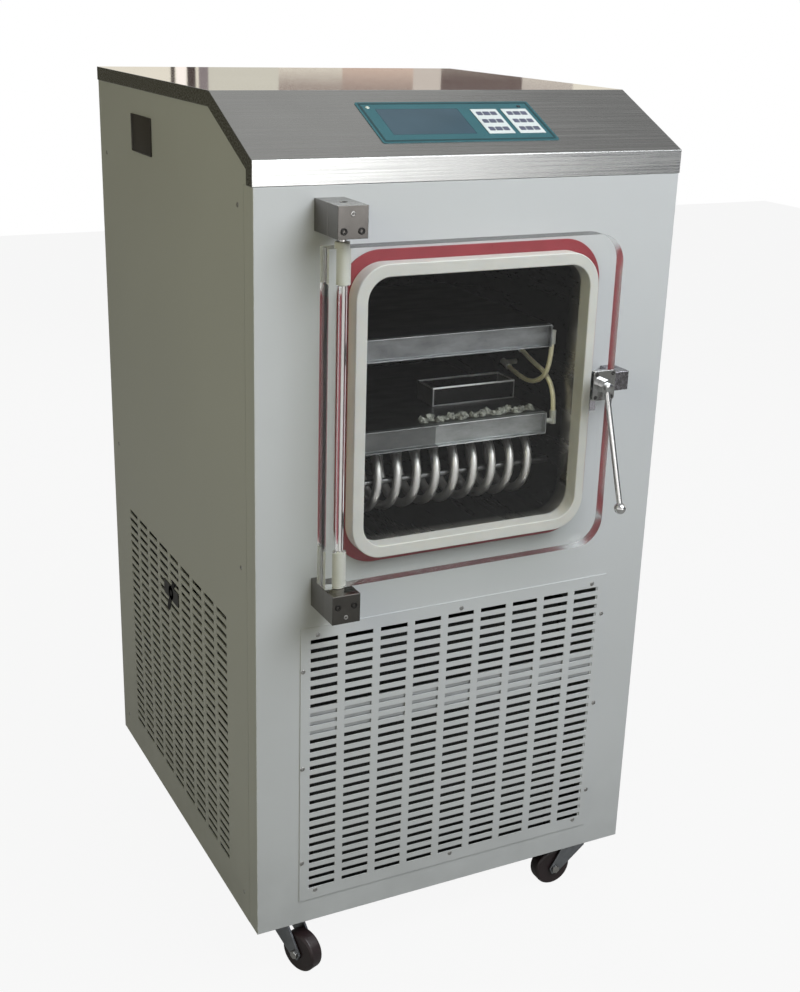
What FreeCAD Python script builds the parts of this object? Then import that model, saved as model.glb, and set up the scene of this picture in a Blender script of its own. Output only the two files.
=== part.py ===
"""A small shelf freeze dryer on castors, drawn as a parametric document.

The cabinet's own frame is used throughout: x from its middle, y back from its front face and
z up from its underside. Every piece is then stood on the castors by one common offset.
"""
import FreeCAD, Part
import math
import os
import re
import Sketcher

SIZES = {
    # cabinet
    "cabinet_width": 600,
    "cabinet_depth": 640,
    "cabinet_height": 1110,
    "sheet": 1.5,
    "seam": 0.3,
    "lip_height": 30,
    "slope_run": 142,
    "slope_rise": 66,
    "cover_flange": 19,
    "front_return": 30,
    "pan_sheet": 3,
    "pan_upstand": 25,
    "deck_length": 560,
    # vent slots
    "slot_length": 40,
    "slot_height": 6.3,
    "slot_pitch": 13.36,
    "slot_rows": 29,
    "column_pitch": 51,
    "slot_columns": 9,
    "vent_middle": 244.5,
    "grille_width": 474,
    "grille_height": 416,
    "grille_rim": 15,
    "side_vent_middle": 333,
    "rail_level": 308,
    "rail_tall": 40,
    "rail_width": 474,
    "rail_lip": 12,
    # vacuum chamber and its door
    "neck_offset": -10,
    "neck_height": 737.5,
    "chamber_width": 324,
    "chamber_tall": 353,
    "chamber_depth": 400,
    "chamber_wall": 3,
    "chamber_corner": 35,
    "neck_reach": 24,
    "neck_gap": 1,
    "seal_leg": 5,
    "seal_crown": 2,
    "gasket_width": 16,
    "gasket_thickness": 3,
    "door_gap": 0.3,
    "door_thickness": 25,
    "door_left": -226,
    "door_right": 184,
    "door_overlap": 35,
    "door_corner": 38,
    # hinge
    "hinge_offset": -204,
    "rod_diameter": 10,
    "rod_clearance": 0.6,
    "running_gap": 0.05,
    "bushing_diameter": 18,
    "bushing_length": 50,
    "bushing_lip": 6,
    "block_width": 38,
    "block_tall": 38,
    "block_reach": 68,
    "lower_block_gap": 4,
    "upper_block_gap": 13,
    "rod_inset": 6,
    # latch
    "latch_offset": 165,
    "latch_height": 753,
    "spindle_diameter": 8,
    "hub_width": 34,
    "hub_tall": 40,
    "hub_thickness": 7,
    "hub_corner": 4,
    "boss_diameter": 20,
    "boss_length": 9,
    "arm_diameter": 7.5,
    "arm_drop": 157,
    "arm_lean": 10,
    "lever_reach": 102,
    "ball_radius": 8,
    "tongue_length": 40,
    "tongue_width": 9,
    "tongue_thickness": 10,
    "tongue_round": 4.3,
    "keeper_gap": 6,
    "keeper_width": 22,
    "keeper_tall": 26,
    "keeper_wall": 6,
    "keeper_lip": 20,
    "throat_clearance": 0.8,
    # shelves and what they carry
    "shelf_left": -155,
    "shelf_right": 125,
    "shelf_front": 20,
    "shelf_depth": 300,
    "shelf_thickness": 30,
    "shelf_skin": 2,
    "shelf_recess": 8,
    "upper_shelf": 792,
    "lower_shelf": 672,
    "bracket_lap": 8,
    "bracket_drop": 18,
    "bracket_sheet": 3,
    "bracket_front": 175,
    "tray_left": -8,
    "tray_width": 128,
    "tray_front": 99,
    "tray_depth": 45,
    "tray_height": 26,
    "tray_wall": 1.2,
    "hose_diameter": 6.5,
    "hose_spacing": 7.5,
    "hose_clearance": 4.5,
    "elbow_diameter": 9,
    "stem_diameter": 7,
    "elbow_reach": 14,
    # evaporator coil
    "coil_turns": 9,
    "coil_pitch": 28.5,
    "coil_radius": 42,
    "tube_diameter": 12,
    "coil_behind": 88,
    "coil_clearance": 4,
    "coil_stub": 20,
    "tie_rod_diameter": 8,
    "tie_rod_rise": 2,
    # control panel on the slope
    "overlay_left": -122,
    "overlay_width": 249,
    "overlay_low": 30,
    "overlay_tall": 95,
    "overlay_thickness": 0.8,
    "overlay_corner": 3,
    "screen_left": -100,
    "screen_width": 115,
    "screen_low": 48,
    "screen_tall": 60,
    "screen_lap": 4,
    "module_depth": 14,
    "keypad_left": 32,
    "keypad_width": 38,
    "keypad_step": 45,
    "keypad_low": 46,
    "keypad_tall": 59,
    "keypad_thickness": 1,
    # refrigeration
    "condenser_width": 400,
    "condenser_tall": 400,
    "condenser_depth": 44,
    "condenser_front": 40,
    "header_width": 12,
    "header_lap": 4,
    "shroud_depth": 30,
    "shroud_sheet": 2,
    "fan_radius": 150,
    "fan_tip_gap": 6,
    "fan_gap": 4,
    "fan_hub_radius": 32,
    "blade_root": 26,
    "fan_width": 20,
    "blade_thickness": 3,
    "blade_count": 5,
    "motor_radius": 38,
    "motor_length": 60,
    "shaft_radius": 5,
    "shaft_seat": 20,
    "spider_bar": 14,
    "spider_sheet": 4,
    "compressor_across": 95,
    "compressor_back": 440,
    "compressor_radius": 92,
    "compressor_tall": 215,
    "compressor_dome": 40,
    "compressor_plate": 4,
    "foot_height": 14,
    "foot_half": 12,
    "foot_spread": 70,
    # services
    "pipe_across": -10,
    "pipe_height": 868,
    "pipe_bore": 25,
    "pipe_wall": 1.5,
    "port_reach": 50,
    "port_flange": 40,
    "port_flange_thickness": 5,
    "inlet_across": 200,
    "inlet_height": 120,
    "inlet_width": 28,
    "inlet_tall": 48,
    "inlet_depth": 24,
    "inlet_rim": 6,
    "inlet_rim_sheet": 2,
    "inlet_wall": 2,
    "inlet_floor": 4,
    "contact_width": 2,
    "contact_tall": 6,
    "contact_length": 16,
    "contact_spacing": 12,
    "exhaust_width": 160,
    "exhaust_height": 6,
    "exhaust_pitch": 18,
    "exhaust_rows": 7,
    "exhaust_across": 85,
    "exhaust_low": 120,
    "drain_back": 347,
    "drain_height": 373,
    "drain_plate_width": 66,
    "drain_plate_height": 22,
    "drain_plate": 1.4,
    "drain_barrel": 16,
    "drain_bore": 9,
    "drain_length": 26,
    "drain_across": -120,
    "drain_bend": 45,
    "drain_tube": 12,
    # castors
    "castor_height": 82,
    "castor_across": 240,
    "castor_inset": 40,
    "castor_plate": 60,
    "castor_plate_sheet": 3,
    "race_radius": 20,
    "race_height": 7,
    "fork_sheet": 3,
    "king_pin_radius": 4,
    "castor_trail": 34,
    "wheel_radius": 30,
    "wheel_width": 22,
    "wheel_side_gap": 1.5,
    "wheel_crown": 3,
    "axle_radius": 4,
    "fork_boss": 9,
    "fork_inset": 12,
    "crown_gap": 0.3,
    "front_left_swing": 292,
    "front_right_swing": 180,
    "rear_left_swing": 255,
    "rear_right_swing": 200,
}

doc = FreeCAD.newDocument("FreezeDryer")
sheet = doc.addObject("Spreadsheet::Sheet", "Sizes")
for row, (alias, number) in enumerate(SIZES.items(), start=1):
    sheet.set(f"A{row}", alias)
    sheet.set(f"B{row}", str(number))
    sheet.setAlias(f"B{row}", alias)
doc.recompute()

# places that several pieces share, as formulas on the sizes
FRONT = "((lever_reach + ball_radius - port_reach - cabinet_depth) / 2)"
HALF = "(cabinet_width / 2)"
SIDE = "(cabinet_width / 2 - sheet)"
INSIDE = "(cabinet_width / 2 - 2 * sheet)"
BACK = "(cabinet_depth - sheet)"
FRONT_TOP = "(cabinet_height - slope_rise - lip_height)"
SLOPE = "sqrt(slope_run ^ 2 + slope_rise ^ 2)"
NECK_HALF = "(chamber_width / 2 + chamber_wall)"
NECK_RISE = "(chamber_tall / 2 + chamber_wall)"
CHAMBER_FLOOR = "(neck_height - chamber_tall / 2)"
DOOR_BACK = "(-neck_reach - seal_crown - door_gap)"
DOOR_FRONT = f"({DOOR_BACK} - door_thickness)"
DOOR_MIDDLE = f"({DOOR_BACK} - door_thickness / 2)"
DOOR_LOW = "(neck_height - chamber_tall / 2 - door_overlap)"
DOOR_TOP = "(neck_height + chamber_tall / 2 + door_overlap)"
HUB_FRONT = f"({DOOR_FRONT} - hub_thickness)"
BOSS_FRONT = f"({HUB_FRONT} - seam - boss_length)"
TONGUE_BACK = f"({DOOR_BACK} + throat_clearance / 2 + tongue_thickness)"
KEEPER_LEFT = "(door_right + keeper_gap)"
GRILLE_LOW = "(vent_middle - grille_height / 2)"
COIL_END = "(coil_pitch * ((coil_turns - 1) / 2 + 0.25))"
DECK_LOW = "(neck_height - chamber_tall / 2 - chamber_wall)"
COIL_LEVEL = "(lower_shelf - coil_clearance - tube_diameter / 2 - coil_radius)"
WALL_LEFT = "(neck_offset - chamber_width / 2)"
WALL_RIGHT = "(neck_offset + chamber_width / 2)"

PLANE_SIGN = {"XY_Plane": 1, "XZ_Plane": -1, "YZ_Plane": 1}
pieces = []
cuts = []


def linked(text):
    """Turn a formula on size names into one on the sheet's cells."""
    return re.sub(r"[a-z][a-z_]*", lambda word: "Sizes." + word[0] if word[0] in SIZES else word[0], text)


def bind(thing, formulas):
    for path, text in formulas.items():
        thing.setExpression(path, linked(text))


def place(thing, x="0", y="0", z="0"):
    bind(thing, {"Placement.Base.x": x, "Placement.Base.y": y, "Placement.Base.z": z})
    return thing


def piece(name, thing, x="0", y="0", z="0"):
    """Name a finished sub-part and stand it, with the cabinet, on the castors."""
    thing.Label = name
    pieces.append(thing)
    return place(thing, x, f"{FRONT} + {y}", f"castor_height + {z}")


def body(name):
    return doc.addObject("PartDesign::Body", name + "_body")


def sketch(part, plane, level="0"):
    """Start a sketch on one of the body's own planes, moved along that plane's axis."""
    drawing = part.newObject("Sketcher::SketchObject", part.Name + "_sketch")
    support = [feature for feature in part.Origin.OriginFeatures if feature.Role == plane][0]
    drawing.AttachmentSupport = (support, "")
    drawing.MapMode = "FlatFace"
    bind(drawing, {"AttachmentOffset.Base.z": f"{PLANE_SIGN[plane]} * ({level})"})
    return drawing


def fix(drawing, kind, line, text):
    """Hold a line's first end at a distance from the sketch's origin."""
    number = drawing.addConstraint(Sketcher.Constraint(kind, -1, 1, line, 1, 1.0))
    bind(drawing, {f"Constraints[{number}]": text})


def polygon(drawing, corners):
    """Draw a closed outline through corners given as pairs of formulas."""
    first = drawing.GeometryCount
    count = len(corners)
    turn = 2 * math.pi / count
    ring = [FreeCAD.Vector(math.cos(k * turn), math.sin(k * turn), 0) * 50 for k in range(count)]
    for k in range(count):
        drawing.addGeometry(Part.LineSegment(ring[k], ring[(k + 1) % count]), False)
    for k in range(count):
        drawing.addConstraint(Sketcher.Constraint("Coincident", first + k, 2, first + (k + 1) % count, 1))
    for k, (across, up) in enumerate(corners):
        fix(drawing, "DistanceX", first + k, across)
        fix(drawing, "DistanceY", first + k, up)


def rectangle(drawing, left, right, low, high):
    polygon(drawing, [(left, low), (right, low), (right, high), (left, high)])


def rounded(drawing, middle, level, half_width, half_height, radius):
    """Draw a rectangle with round corners about a middle point."""
    first = drawing.GeometryCount
    vector = FreeCAD.Vector
    ends = [((-40, -50), (40, -50)), ((50, -40), (50, 40)), ((40, 50), (-40, 50)), ((-50, 40), (-50, -40))]
    for start, end in ends:
        drawing.addGeometry(Part.LineSegment(vector(*start), vector(*end)), False)
    for k, centre in enumerate([(40, -40), (40, 40), (-40, 40), (-40, -40)]):
        circle = Part.Circle(vector(*centre), vector(0, 0, 1), 10)
        quarter = Part.ArcOfCircle(circle, math.radians(90 * k - 90), math.radians(90 * k))
        drawing.addGeometry(quarter, False)
    for k in range(4):
        drawing.addConstraint(Sketcher.Constraint("Tangent", first + k, 2, first + 4 + k, 1))
        drawing.addConstraint(Sketcher.Constraint("Tangent", first + 4 + k, 2, first + (k + 1) % 4, 1))
        flat = "Vertical" if k % 2 else "Horizontal"
        drawing.addConstraint(Sketcher.Constraint(flat, first + k))
    for k in range(1, 4):
        drawing.addConstraint(Sketcher.Constraint("Equal", first + 4, first + 4 + k))
    number = drawing.addConstraint(Sketcher.Constraint("Radius", first + 4, 10.0))
    bind(drawing, {f"Constraints[{number}]": radius})
    fix(drawing, "DistanceY", first, f"{level} - {half_height}")
    fix(drawing, "DistanceX", first + 1, f"{middle} + {half_width}")
    fix(drawing, "DistanceY", first + 2, f"{level} + {half_height}")
    fix(drawing, "DistanceX", first + 3, f"{middle} - {half_width}")


def circle(drawing, across, up, radius):
    spot = drawing.addGeometry(Part.Circle(FreeCAD.Vector(20, 20, 0), FreeCAD.Vector(0, 0, 1), 10), False)
    number = drawing.addConstraint(Sketcher.Constraint("Radius", spot, 10.0))
    bind(drawing, {f"Constraints[{number}]": radius})
    for kind, text in (("DistanceX", across), ("DistanceY", up)):
        number = drawing.addConstraint(Sketcher.Constraint(kind, -1, 1, spot, 3, 1.0))
        bind(drawing, {f"Constraints[{number}]": text})


def plane_of(drawing):
    return drawing.AttachmentSupport[0][0].Role


def pad(part, drawing, length, forward=True):
    """Grow a sketch along its axis, or against it."""
    feature = part.newObject("PartDesign::Pad", part.Name + "_pad")
    feature.Profile = drawing
    feature.Reversed = forward != (PLANE_SIGN[plane_of(drawing)] > 0)
    bind(feature, {"Length": length})
    part.Tip = feature
    return feature


def pocket(part, drawing, length=None, forward=True):
    """Cut a sketch along its axis to a depth, or right through both ways."""
    before = part.Tip
    feature = part.newObject("PartDesign::Pocket", part.Name + "_pocket")
    feature.Profile = drawing
    if length is None:
        feature.Type = "ThroughAll"
        feature.Midplane = True
    else:
        feature.Reversed = forward == (PLANE_SIGN[plane_of(drawing)] > 0)
        bind(feature, {"Length": length})
    part.Tip = feature
    cuts.append((before, feature))
    return feature


def repeat(part, feature, drawing, pitch, count, row_pitch=None, rows=None):
    """Repeat a feature along its sketch's own two axes."""
    pattern = part.newObject("PartDesign::LinearPattern", part.Name + "_pattern")
    pattern.Originals = [feature]
    pattern.Direction = (drawing, ["H_Axis"])
    bind(pattern, {"Length": f"{pitch} * ({count} - 1)", "Occurrences": count})
    if rows:
        pattern.Direction2 = (drawing, ["V_Axis"])
        bind(pattern, {"Length2": f"{row_pitch} * ({rows} - 1)", "Occurrences2": rows})
    part.Tip = pattern
    return pattern


def round_edges(part, along, radius, keep=lambda point: True):
    """Fillet the straight edges that run along an axis and pass a test of their middle point."""
    doc.recompute()
    base = part.Tip
    names = []
    for number, edge in enumerate(base.Shape.Edges, start=1):
        straight = isinstance(edge.Curve, Part.Line)
        if straight and abs(edge.tangentAt(edge.FirstParameter).dot(along)) > 0.999 and keep(edge.CenterOfMass):
            names.append(f"Edge{number}")
    feature = part.newObject("PartDesign::Fillet", part.Name + "_fillet")
    feature.Base = (base, names)
    bind(feature, {"Radius": radius})
    part.Tip = feature
    return feature


def box(name, length, width, height, x="0", y="0", z="0"):
    solid = doc.addObject("Part::Box", name + "_box")
    bind(solid, {"Length": length, "Width": width, "Height": height})
    return place(solid, x, y, z)


def cylinder(name, radius, length, x="0", y="0", z="0", axis=(0, 0, 1)):
    solid = doc.addObject("Part::Cylinder", name + "_cylinder")
    bind(solid, {"Radius": radius, "Height": length})
    turn = FreeCAD.Rotation(FreeCAD.Vector(0, 0, 1), FreeCAD.Vector(*axis))
    solid.Placement = FreeCAD.Placement(FreeCAD.Vector(), turn)
    return place(solid, x, y, z)


def fuse(name, *solids):
    joined = doc.addObject("Part::MultiFuse", name + "_fuse")
    joined.Shapes = list(solids)
    return joined


def cut(name, base, tool):
    result = doc.addObject("Part::Cut", name + "_cut")
    result.Base = base
    result.Tool = tool
    return result


def size(alias):
    """Read one size from the sheet, for shapes worked out in code."""
    return float(sheet.get(alias))


ALONG_X = FreeCAD.Vector(1, 0, 0)
ALONG_Y = FreeCAD.Vector(0, 1, 0)
ALONG_Z = FreeCAD.Vector(0, 0, 1)


# ---- cabinet ---------------------------------------------------------------------------------

def folded_channel(name, thickness, upstand, level, front, length, rise):
    """A floor sheet with its two long sides folded up (rise 1) or down (rise -1)."""
    part = body(name)
    drawing = sketch(part, "XZ_Plane", front)
    outer = f"({INSIDE} - seam)"
    inner = f"({outer} - {thickness})"
    far = f"({level} + {rise} * {upstand})"
    near = f"({level} + {rise} * {thickness})"
    polygon(drawing, [
        (f"-{outer}", level), (outer, level), (outer, far), (inner, far),
        (inner, near), (f"-{inner}", near), (f"-{inner}", far), (f"-{outer}", far)])
    pad(part, drawing, length)
    return piece(name, part)


folded_channel("base_pan", "pan_sheet", "pan_upstand", "0", "sheet + seam",
               "cabinet_depth - 2 * sheet - 2 * seam", 1)
deck = folded_channel("chamber_deck", "pan_sheet", "pan_upstand", DECK_LOW,
                      "sheet + seam", "deck_length", -1)
drain_hole = sketch(deck, "XY_Plane", DECK_LOW)
circle(drain_hole, "drain_across", "drain_back", "drain_tube / 2 + neck_gap")
pocket(deck, drain_hole, "2 * pan_sheet", forward=False)


def front_panel():
    """The front sheet with both sides folded back, the neck hole and the air window."""
    part = body("front_panel")
    drawing = sketch(part, "XY_Plane")
    wide = SIDE
    thin = f"({SIDE} - sheet)"
    polygon(drawing, [
        (f"-{wide}", "0"), (wide, "0"), (wide, "front_return"), (thin, "front_return"),
        (thin, "sheet"), (f"-{thin}", "sheet"), (f"-{thin}", "front_return"), (f"-{wide}", "front_return")])
    pad(part, drawing, f"{FRONT_TOP} - seam")
    hole = sketch(part, "XZ_Plane")
    rounded(hole, "neck_offset", "neck_height", f"({NECK_HALF} + neck_gap)", f"({NECK_RISE} + neck_gap)",
            "chamber_corner + chamber_wall + neck_gap")
    pocket(part, hole, "2 * sheet")
    window = sketch(part, "XZ_Plane")
    half = "(grille_width / 2 - grille_rim)"
    rectangle(window, f"-{half}", half, f"{GRILLE_LOW} + grille_rim",
              f"{GRILLE_LOW} + grille_height - grille_rim")
    pocket(part, window, "2 * sheet")
    piece("front_panel", part)


front_panel()


def slot_field(part, plane, middle, level):
    """Punch the field of vent slots, centred on a point of the sheet."""
    left = f"({middle} - column_pitch * (slot_columns - 1) / 2 - slot_length / 2)"
    low = f"({level} - slot_pitch * (slot_rows - 1) / 2 - slot_height / 2)"
    drawing = sketch(part, plane)
    rectangle(drawing, left, f"{left} + slot_length", low, f"{low} + slot_height")
    doc.recompute()
    slot = pocket(part, drawing)
    repeat(part, slot, drawing, "column_pitch", "slot_columns", "slot_pitch", "slot_rows")


def front_grille():
    """The punched plate screwed over the air window."""
    part = body("front_grille")
    drawing = sketch(part, "XZ_Plane")
    rectangle(drawing, "-grille_width / 2", "grille_width / 2", GRILLE_LOW, f"{GRILLE_LOW} + grille_height")
    pad(part, drawing, "sheet", forward=False)
    slot_field(part, "XZ_Plane", "0", "vent_middle")
    piece("front_grille", part)


front_grille()


def cross_rail():
    """The channel across the air window's middle, welded flat against the panel's back."""
    part = body("cross_rail")
    low = "(rail_level - rail_tall / 2)"
    drawing = sketch(part, "YZ_Plane", "-rail_width / 2")
    polygon(drawing, [
        ("sheet", low), ("sheet + rail_lip", low), ("sheet + rail_lip", f"{low} + sheet"),
        ("2 * sheet", f"{low} + sheet"), ("2 * sheet", f"{low} + rail_tall - sheet"),
        ("sheet + rail_lip", f"{low} + rail_tall - sheet"), ("sheet + rail_lip", f"{low} + rail_tall"),
        ("sheet", f"{low} + rail_tall")])
    pad(part, drawing, "rail_width")
    piece("cross_rail", part)


cross_rail()


def side_outline(part):
    """The side sheet below the cover, its top edge following the slope."""
    start = "(front_return + seam)"
    tip = "(sheet + seam)"
    under = "(cabinet_height - sheet - seam)"
    drop = f"((slope_run - {tip}) * slope_rise / slope_run)"
    drawing = sketch(part, "YZ_Plane")
    polygon(drawing, [
        (start, "0"), (BACK, "0"), (BACK, under), ("slope_run", under), (tip, f"{under} - {drop}"),
        (tip, FRONT_TOP), (start, FRONT_TOP)])
    pad(part, drawing, "sheet")


def side_panels():
    left = body("left_side_panel")
    side_outline(left)
    slot_field(left, "YZ_Plane", "side_vent_middle", "vent_middle")
    hole = sketch(left, "YZ_Plane")
    circle(hole, "drain_back", "drain_height", "drain_barrel / 2 + seam")
    pocket(left, hole)
    piece("left_side_panel", left, f"-{SIDE}")
    right = body("right_side_panel")
    side_outline(right)
    piece("right_side_panel", right, f"{SIDE} - sheet")


side_panels()


def rear_panel():
    """The rear sheet with its exhaust slots and the holes for the vacuum pipe and the inlet."""
    part = body("rear_panel")
    drawing = sketch(part, "XZ_Plane", BACK)
    rectangle(drawing, f"-{SIDE}", SIDE, "0", "cabinet_height - cover_flange - seam")
    pad(part, drawing, "sheet")
    holes = sketch(part, "XZ_Plane", BACK)
    circle(holes, "pipe_across", "pipe_height", "pipe_bore / 2 + pipe_wall + neck_gap")
    rectangle(holes, "inlet_across - inlet_width / 2 - seam", "inlet_across + inlet_width / 2 + seam",
              "inlet_height - inlet_tall / 2 - seam", "inlet_height + inlet_tall / 2 + seam")
    pocket(part, holes)
    slots = sketch(part, "XZ_Plane", BACK)
    rectangle(slots, "exhaust_across - exhaust_width / 2", "exhaust_across + exhaust_width / 2",
              "exhaust_low", "exhaust_low + exhaust_height")
    doc.recompute()
    slot = pocket(part, slots)
    pattern = part.newObject("PartDesign::LinearPattern", "exhaust_pattern")
    pattern.Originals = [slot]
    pattern.Direction = (slots, ["V_Axis"])
    bind(pattern, {"Length": "exhaust_pitch * (exhaust_rows - 1)", "Occurrences": "exhaust_rows"})
    part.Tip = pattern
    piece("rear_panel", part)


rear_panel()


def top_cover():
    """One folded sheet: front lip, sloped fascia, deck and a narrow flange down each side."""
    part = body("top_cover")
    drawing = sketch(part, "YZ_Plane", f"-{HALF}")
    top = "cabinet_height"
    bend = "(cabinet_height - slope_rise)"
    lower = f"({bend} - cover_flange * {SLOPE} / slope_run + cover_flange * slope_rise / slope_run)"
    knee = f"(slope_run + cover_flange * ({SLOPE} - slope_run) / slope_rise)"
    polygon(drawing, [
        ("0", FRONT_TOP), ("0", bend), ("slope_run", top), ("cabinet_depth", top),
        ("cabinet_depth", f"{top} - cover_flange"), (knee, f"{top} - cover_flange"),
        ("cover_flange", lower), ("cover_flange", FRONT_TOP)])
    pad(part, drawing, "cabinet_width")
    hollow = sketch(part, "YZ_Plane", f"-{SIDE}")
    inner = f"({bend} - sheet * {SLOPE} / slope_run + sheet * slope_rise / slope_run)"
    crown = f"(slope_run + sheet * ({SLOPE} - slope_run) / slope_rise)"
    polygon(hollow, [
        ("sheet", f"{FRONT_TOP} - lip_height"), ("sheet", inner), (crown, f"{top} - sheet"),
        (BACK, f"{top} - sheet"), (BACK, f"{FRONT_TOP} - lip_height")])
    pocket(part, hollow, f"2 * {SIDE}")
    window = sketch(part, "XY_Plane", top)
    low = f"((screen_low + screen_lap) * slope_run / {SLOPE})"
    high = f"((screen_low + screen_tall - screen_lap) * slope_run / {SLOPE})"
    rectangle(window, "screen_left + screen_lap", "screen_left + screen_width - screen_lap", low, high)
    pocket(part, window, "slope_rise + lip_height", forward=False)
    piece("top_cover", part)


top_cover()


# ---- control panel, drawn flat and laid on the slope -----------------------------------------

def piece_on_slope(name, thing):
    """Lay a piece, drawn in the slope's own plane, on the fascia from its lower bend."""
    thing.Placement = FreeCAD.Placement(FreeCAD.Vector(), FreeCAD.Rotation(ALONG_X, 25))
    piece(name, thing, "0", "0", "cabinet_height - slope_rise")
    bind(thing, {"Placement.Rotation.Angle": "atan(slope_rise / slope_run)"})


def flat_plate(name, left, width, low, tall, level, thickness):
    part = body(name)
    drawing = sketch(part, "XY_Plane", level)
    rectangle(drawing, left, f"{left} + {width}", low, f"{low} + {tall}")
    pad(part, drawing, thickness)
    return part


def control_panel():
    overlay = flat_plate("control_overlay", "overlay_left", "overlay_width", "overlay_low", "overlay_tall",
                         "0", "overlay_thickness")
    window = sketch(overlay, "XY_Plane")
    rectangle(window, "screen_left - seam", "screen_left + screen_width + seam",
              "screen_low - seam", "screen_low + screen_tall + seam")
    pocket(overlay, window)
    round_edges(overlay, ALONG_Z, "overlay_corner", outside_of_screen)
    piece_on_slope("control_overlay", overlay)
    piece_on_slope("display_window", flat_plate(
        "display_window", "screen_left", "screen_width", "screen_low", "screen_tall",
        "0", "overlay_thickness"))
    piece_on_slope("display_module", flat_plate(
        "display_module", "screen_left", "screen_width", "screen_low", "screen_tall",
        "-(sheet + module_depth)", "module_depth"))
    for number, side in enumerate(("left", "right")):
        piece_on_slope(f"keypad_{side}", flat_plate(
            f"keypad_{side}", f"(keypad_left + {number} * keypad_step)", "keypad_width",
            "keypad_low", "keypad_tall", "overlay_thickness", "keypad_thickness"))


def outside_of_screen(point):
    margin = 5
    beyond = point.x - size("screen_left") - size("screen_width")
    return point.x < size("screen_left") - margin or beyond > margin


control_panel()


# ---- vacuum chamber --------------------------------------------------------------------------

def vacuum_chamber():
    """A welded box open at its neck, with the holes that its pipes pass through."""
    part = body("vacuum_chamber")
    outer = sketch(part, "XZ_Plane", "-neck_reach")
    rounded(outer, "neck_offset", "neck_height", NECK_HALF, NECK_RISE, "chamber_corner + chamber_wall")
    pad(part, outer, "neck_reach + chamber_depth + chamber_wall")
    inner = sketch(part, "XZ_Plane", "-neck_reach")
    rounded(inner, "neck_offset", "neck_height", "chamber_width / 2", "chamber_tall / 2", "chamber_corner")
    pocket(part, inner, "neck_reach + chamber_depth")
    ports = sketch(part, "XZ_Plane", "chamber_depth")
    circle(ports, "pipe_across", "pipe_height", "pipe_bore / 2 + pipe_wall")
    circle(ports, f"-{COIL_END}", f"{COIL_LEVEL} - coil_radius", "tube_diameter / 2 + running_gap")
    circle(ports, COIL_END, f"{COIL_LEVEL} + coil_radius", "tube_diameter / 2 + running_gap")
    pocket(part, ports, "chamber_wall")
    drain = sketch(part, "XY_Plane", CHAMBER_FLOOR)
    circle(drain, "drain_across", "drain_back", "drain_bore / 2")
    pocket(part, drain, "chamber_wall", forward=False)
    piece("vacuum_chamber", part)


vacuum_chamber()


def neck_seal():
    """A silicone profile of U section pushed over the rim of the neck."""
    part = body("neck_seal")
    crown = "-(neck_reach + seal_crown)"
    outer = sketch(part, "XZ_Plane", crown)
    rounded(outer, "neck_offset", "neck_height", f"({NECK_HALF} + seal_leg)", f"({NECK_RISE} + seal_leg)",
            "chamber_corner + chamber_wall + seal_leg")
    rounded(outer, "neck_offset", "neck_height", "(chamber_width / 2 - seal_leg)",
            "(chamber_tall / 2 - seal_leg)", "chamber_corner - seal_leg")
    pad(part, outer, "neck_reach + seal_crown - gasket_thickness")
    groove = sketch(part, "XZ_Plane", "-gasket_thickness")
    rounded(groove, "neck_offset", "neck_height", NECK_HALF, NECK_RISE, "chamber_corner + chamber_wall")
    rounded(groove, "neck_offset", "neck_height", "chamber_width / 2", "chamber_tall / 2", "chamber_corner")
    pocket(part, groove, "neck_reach - gasket_thickness", forward=False)
    piece("neck_seal", part)


neck_seal()


def panel_gasket():
    """The flat red gasket on the front panel round the neck."""
    part = body("panel_gasket")
    drawing = sketch(part, "XZ_Plane")
    rounded(drawing, "neck_offset", "neck_height", f"({NECK_HALF} + gasket_width)",
            f"({NECK_RISE} + gasket_width)", "chamber_corner + chamber_wall + gasket_width")
    rounded(drawing, "neck_offset", "neck_height", NECK_HALF, NECK_RISE, "chamber_corner + chamber_wall")
    pad(part, drawing, "gasket_thickness", forward=False)
    piece("panel_gasket", part)


panel_gasket()


# ---- door, hinge and latch -------------------------------------------------------------------

def door_panel():
    """A clear acrylic plate bored from end to end for the hinge rod and through for the latch."""
    part = body("door_panel")
    drawing = sketch(part, "XZ_Plane", DOOR_FRONT)
    rectangle(drawing, "door_left", "door_right", DOOR_LOW, DOOR_TOP)
    pad(part, drawing, "door_thickness")
    round_edges(part, ALONG_Y, "door_corner", lambda point: point.x > 0)
    rod_bore = sketch(part, "XY_Plane", DOOR_LOW)
    circle(rod_bore, "hinge_offset", DOOR_MIDDLE, "rod_diameter / 2 + rod_clearance")
    pocket(part, rod_bore)
    lips = {DOOR_LOW: "(lower_block_gap - seam)", DOOR_TOP: "bushing_lip"}
    for level, lip in lips.items():
        seat = sketch(part, "XY_Plane", level)
        circle(seat, "hinge_offset", DOOR_MIDDLE, "bushing_diameter / 2")
        pocket(part, seat, f"bushing_length - {lip}", forward=level == DOOR_LOW)
    latch_bore = sketch(part, "XZ_Plane", DOOR_FRONT)
    circle(latch_bore, "latch_offset", "latch_height", "spindle_diameter / 2 + running_gap")
    pocket(part, latch_bore, "door_thickness")
    piece("door_panel", part)


def bushing(name, low):
    """A nylon bushing pressed in the door, turning on the hinge rod."""
    outer = cylinder(name, "bushing_diameter / 2", "bushing_length")
    bore = cylinder(name + "_bore", "rod_diameter / 2 + running_gap", "bushing_length")
    piece(name, cut(name, outer, bore), "hinge_offset", DOOR_MIDDLE, low)


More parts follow.
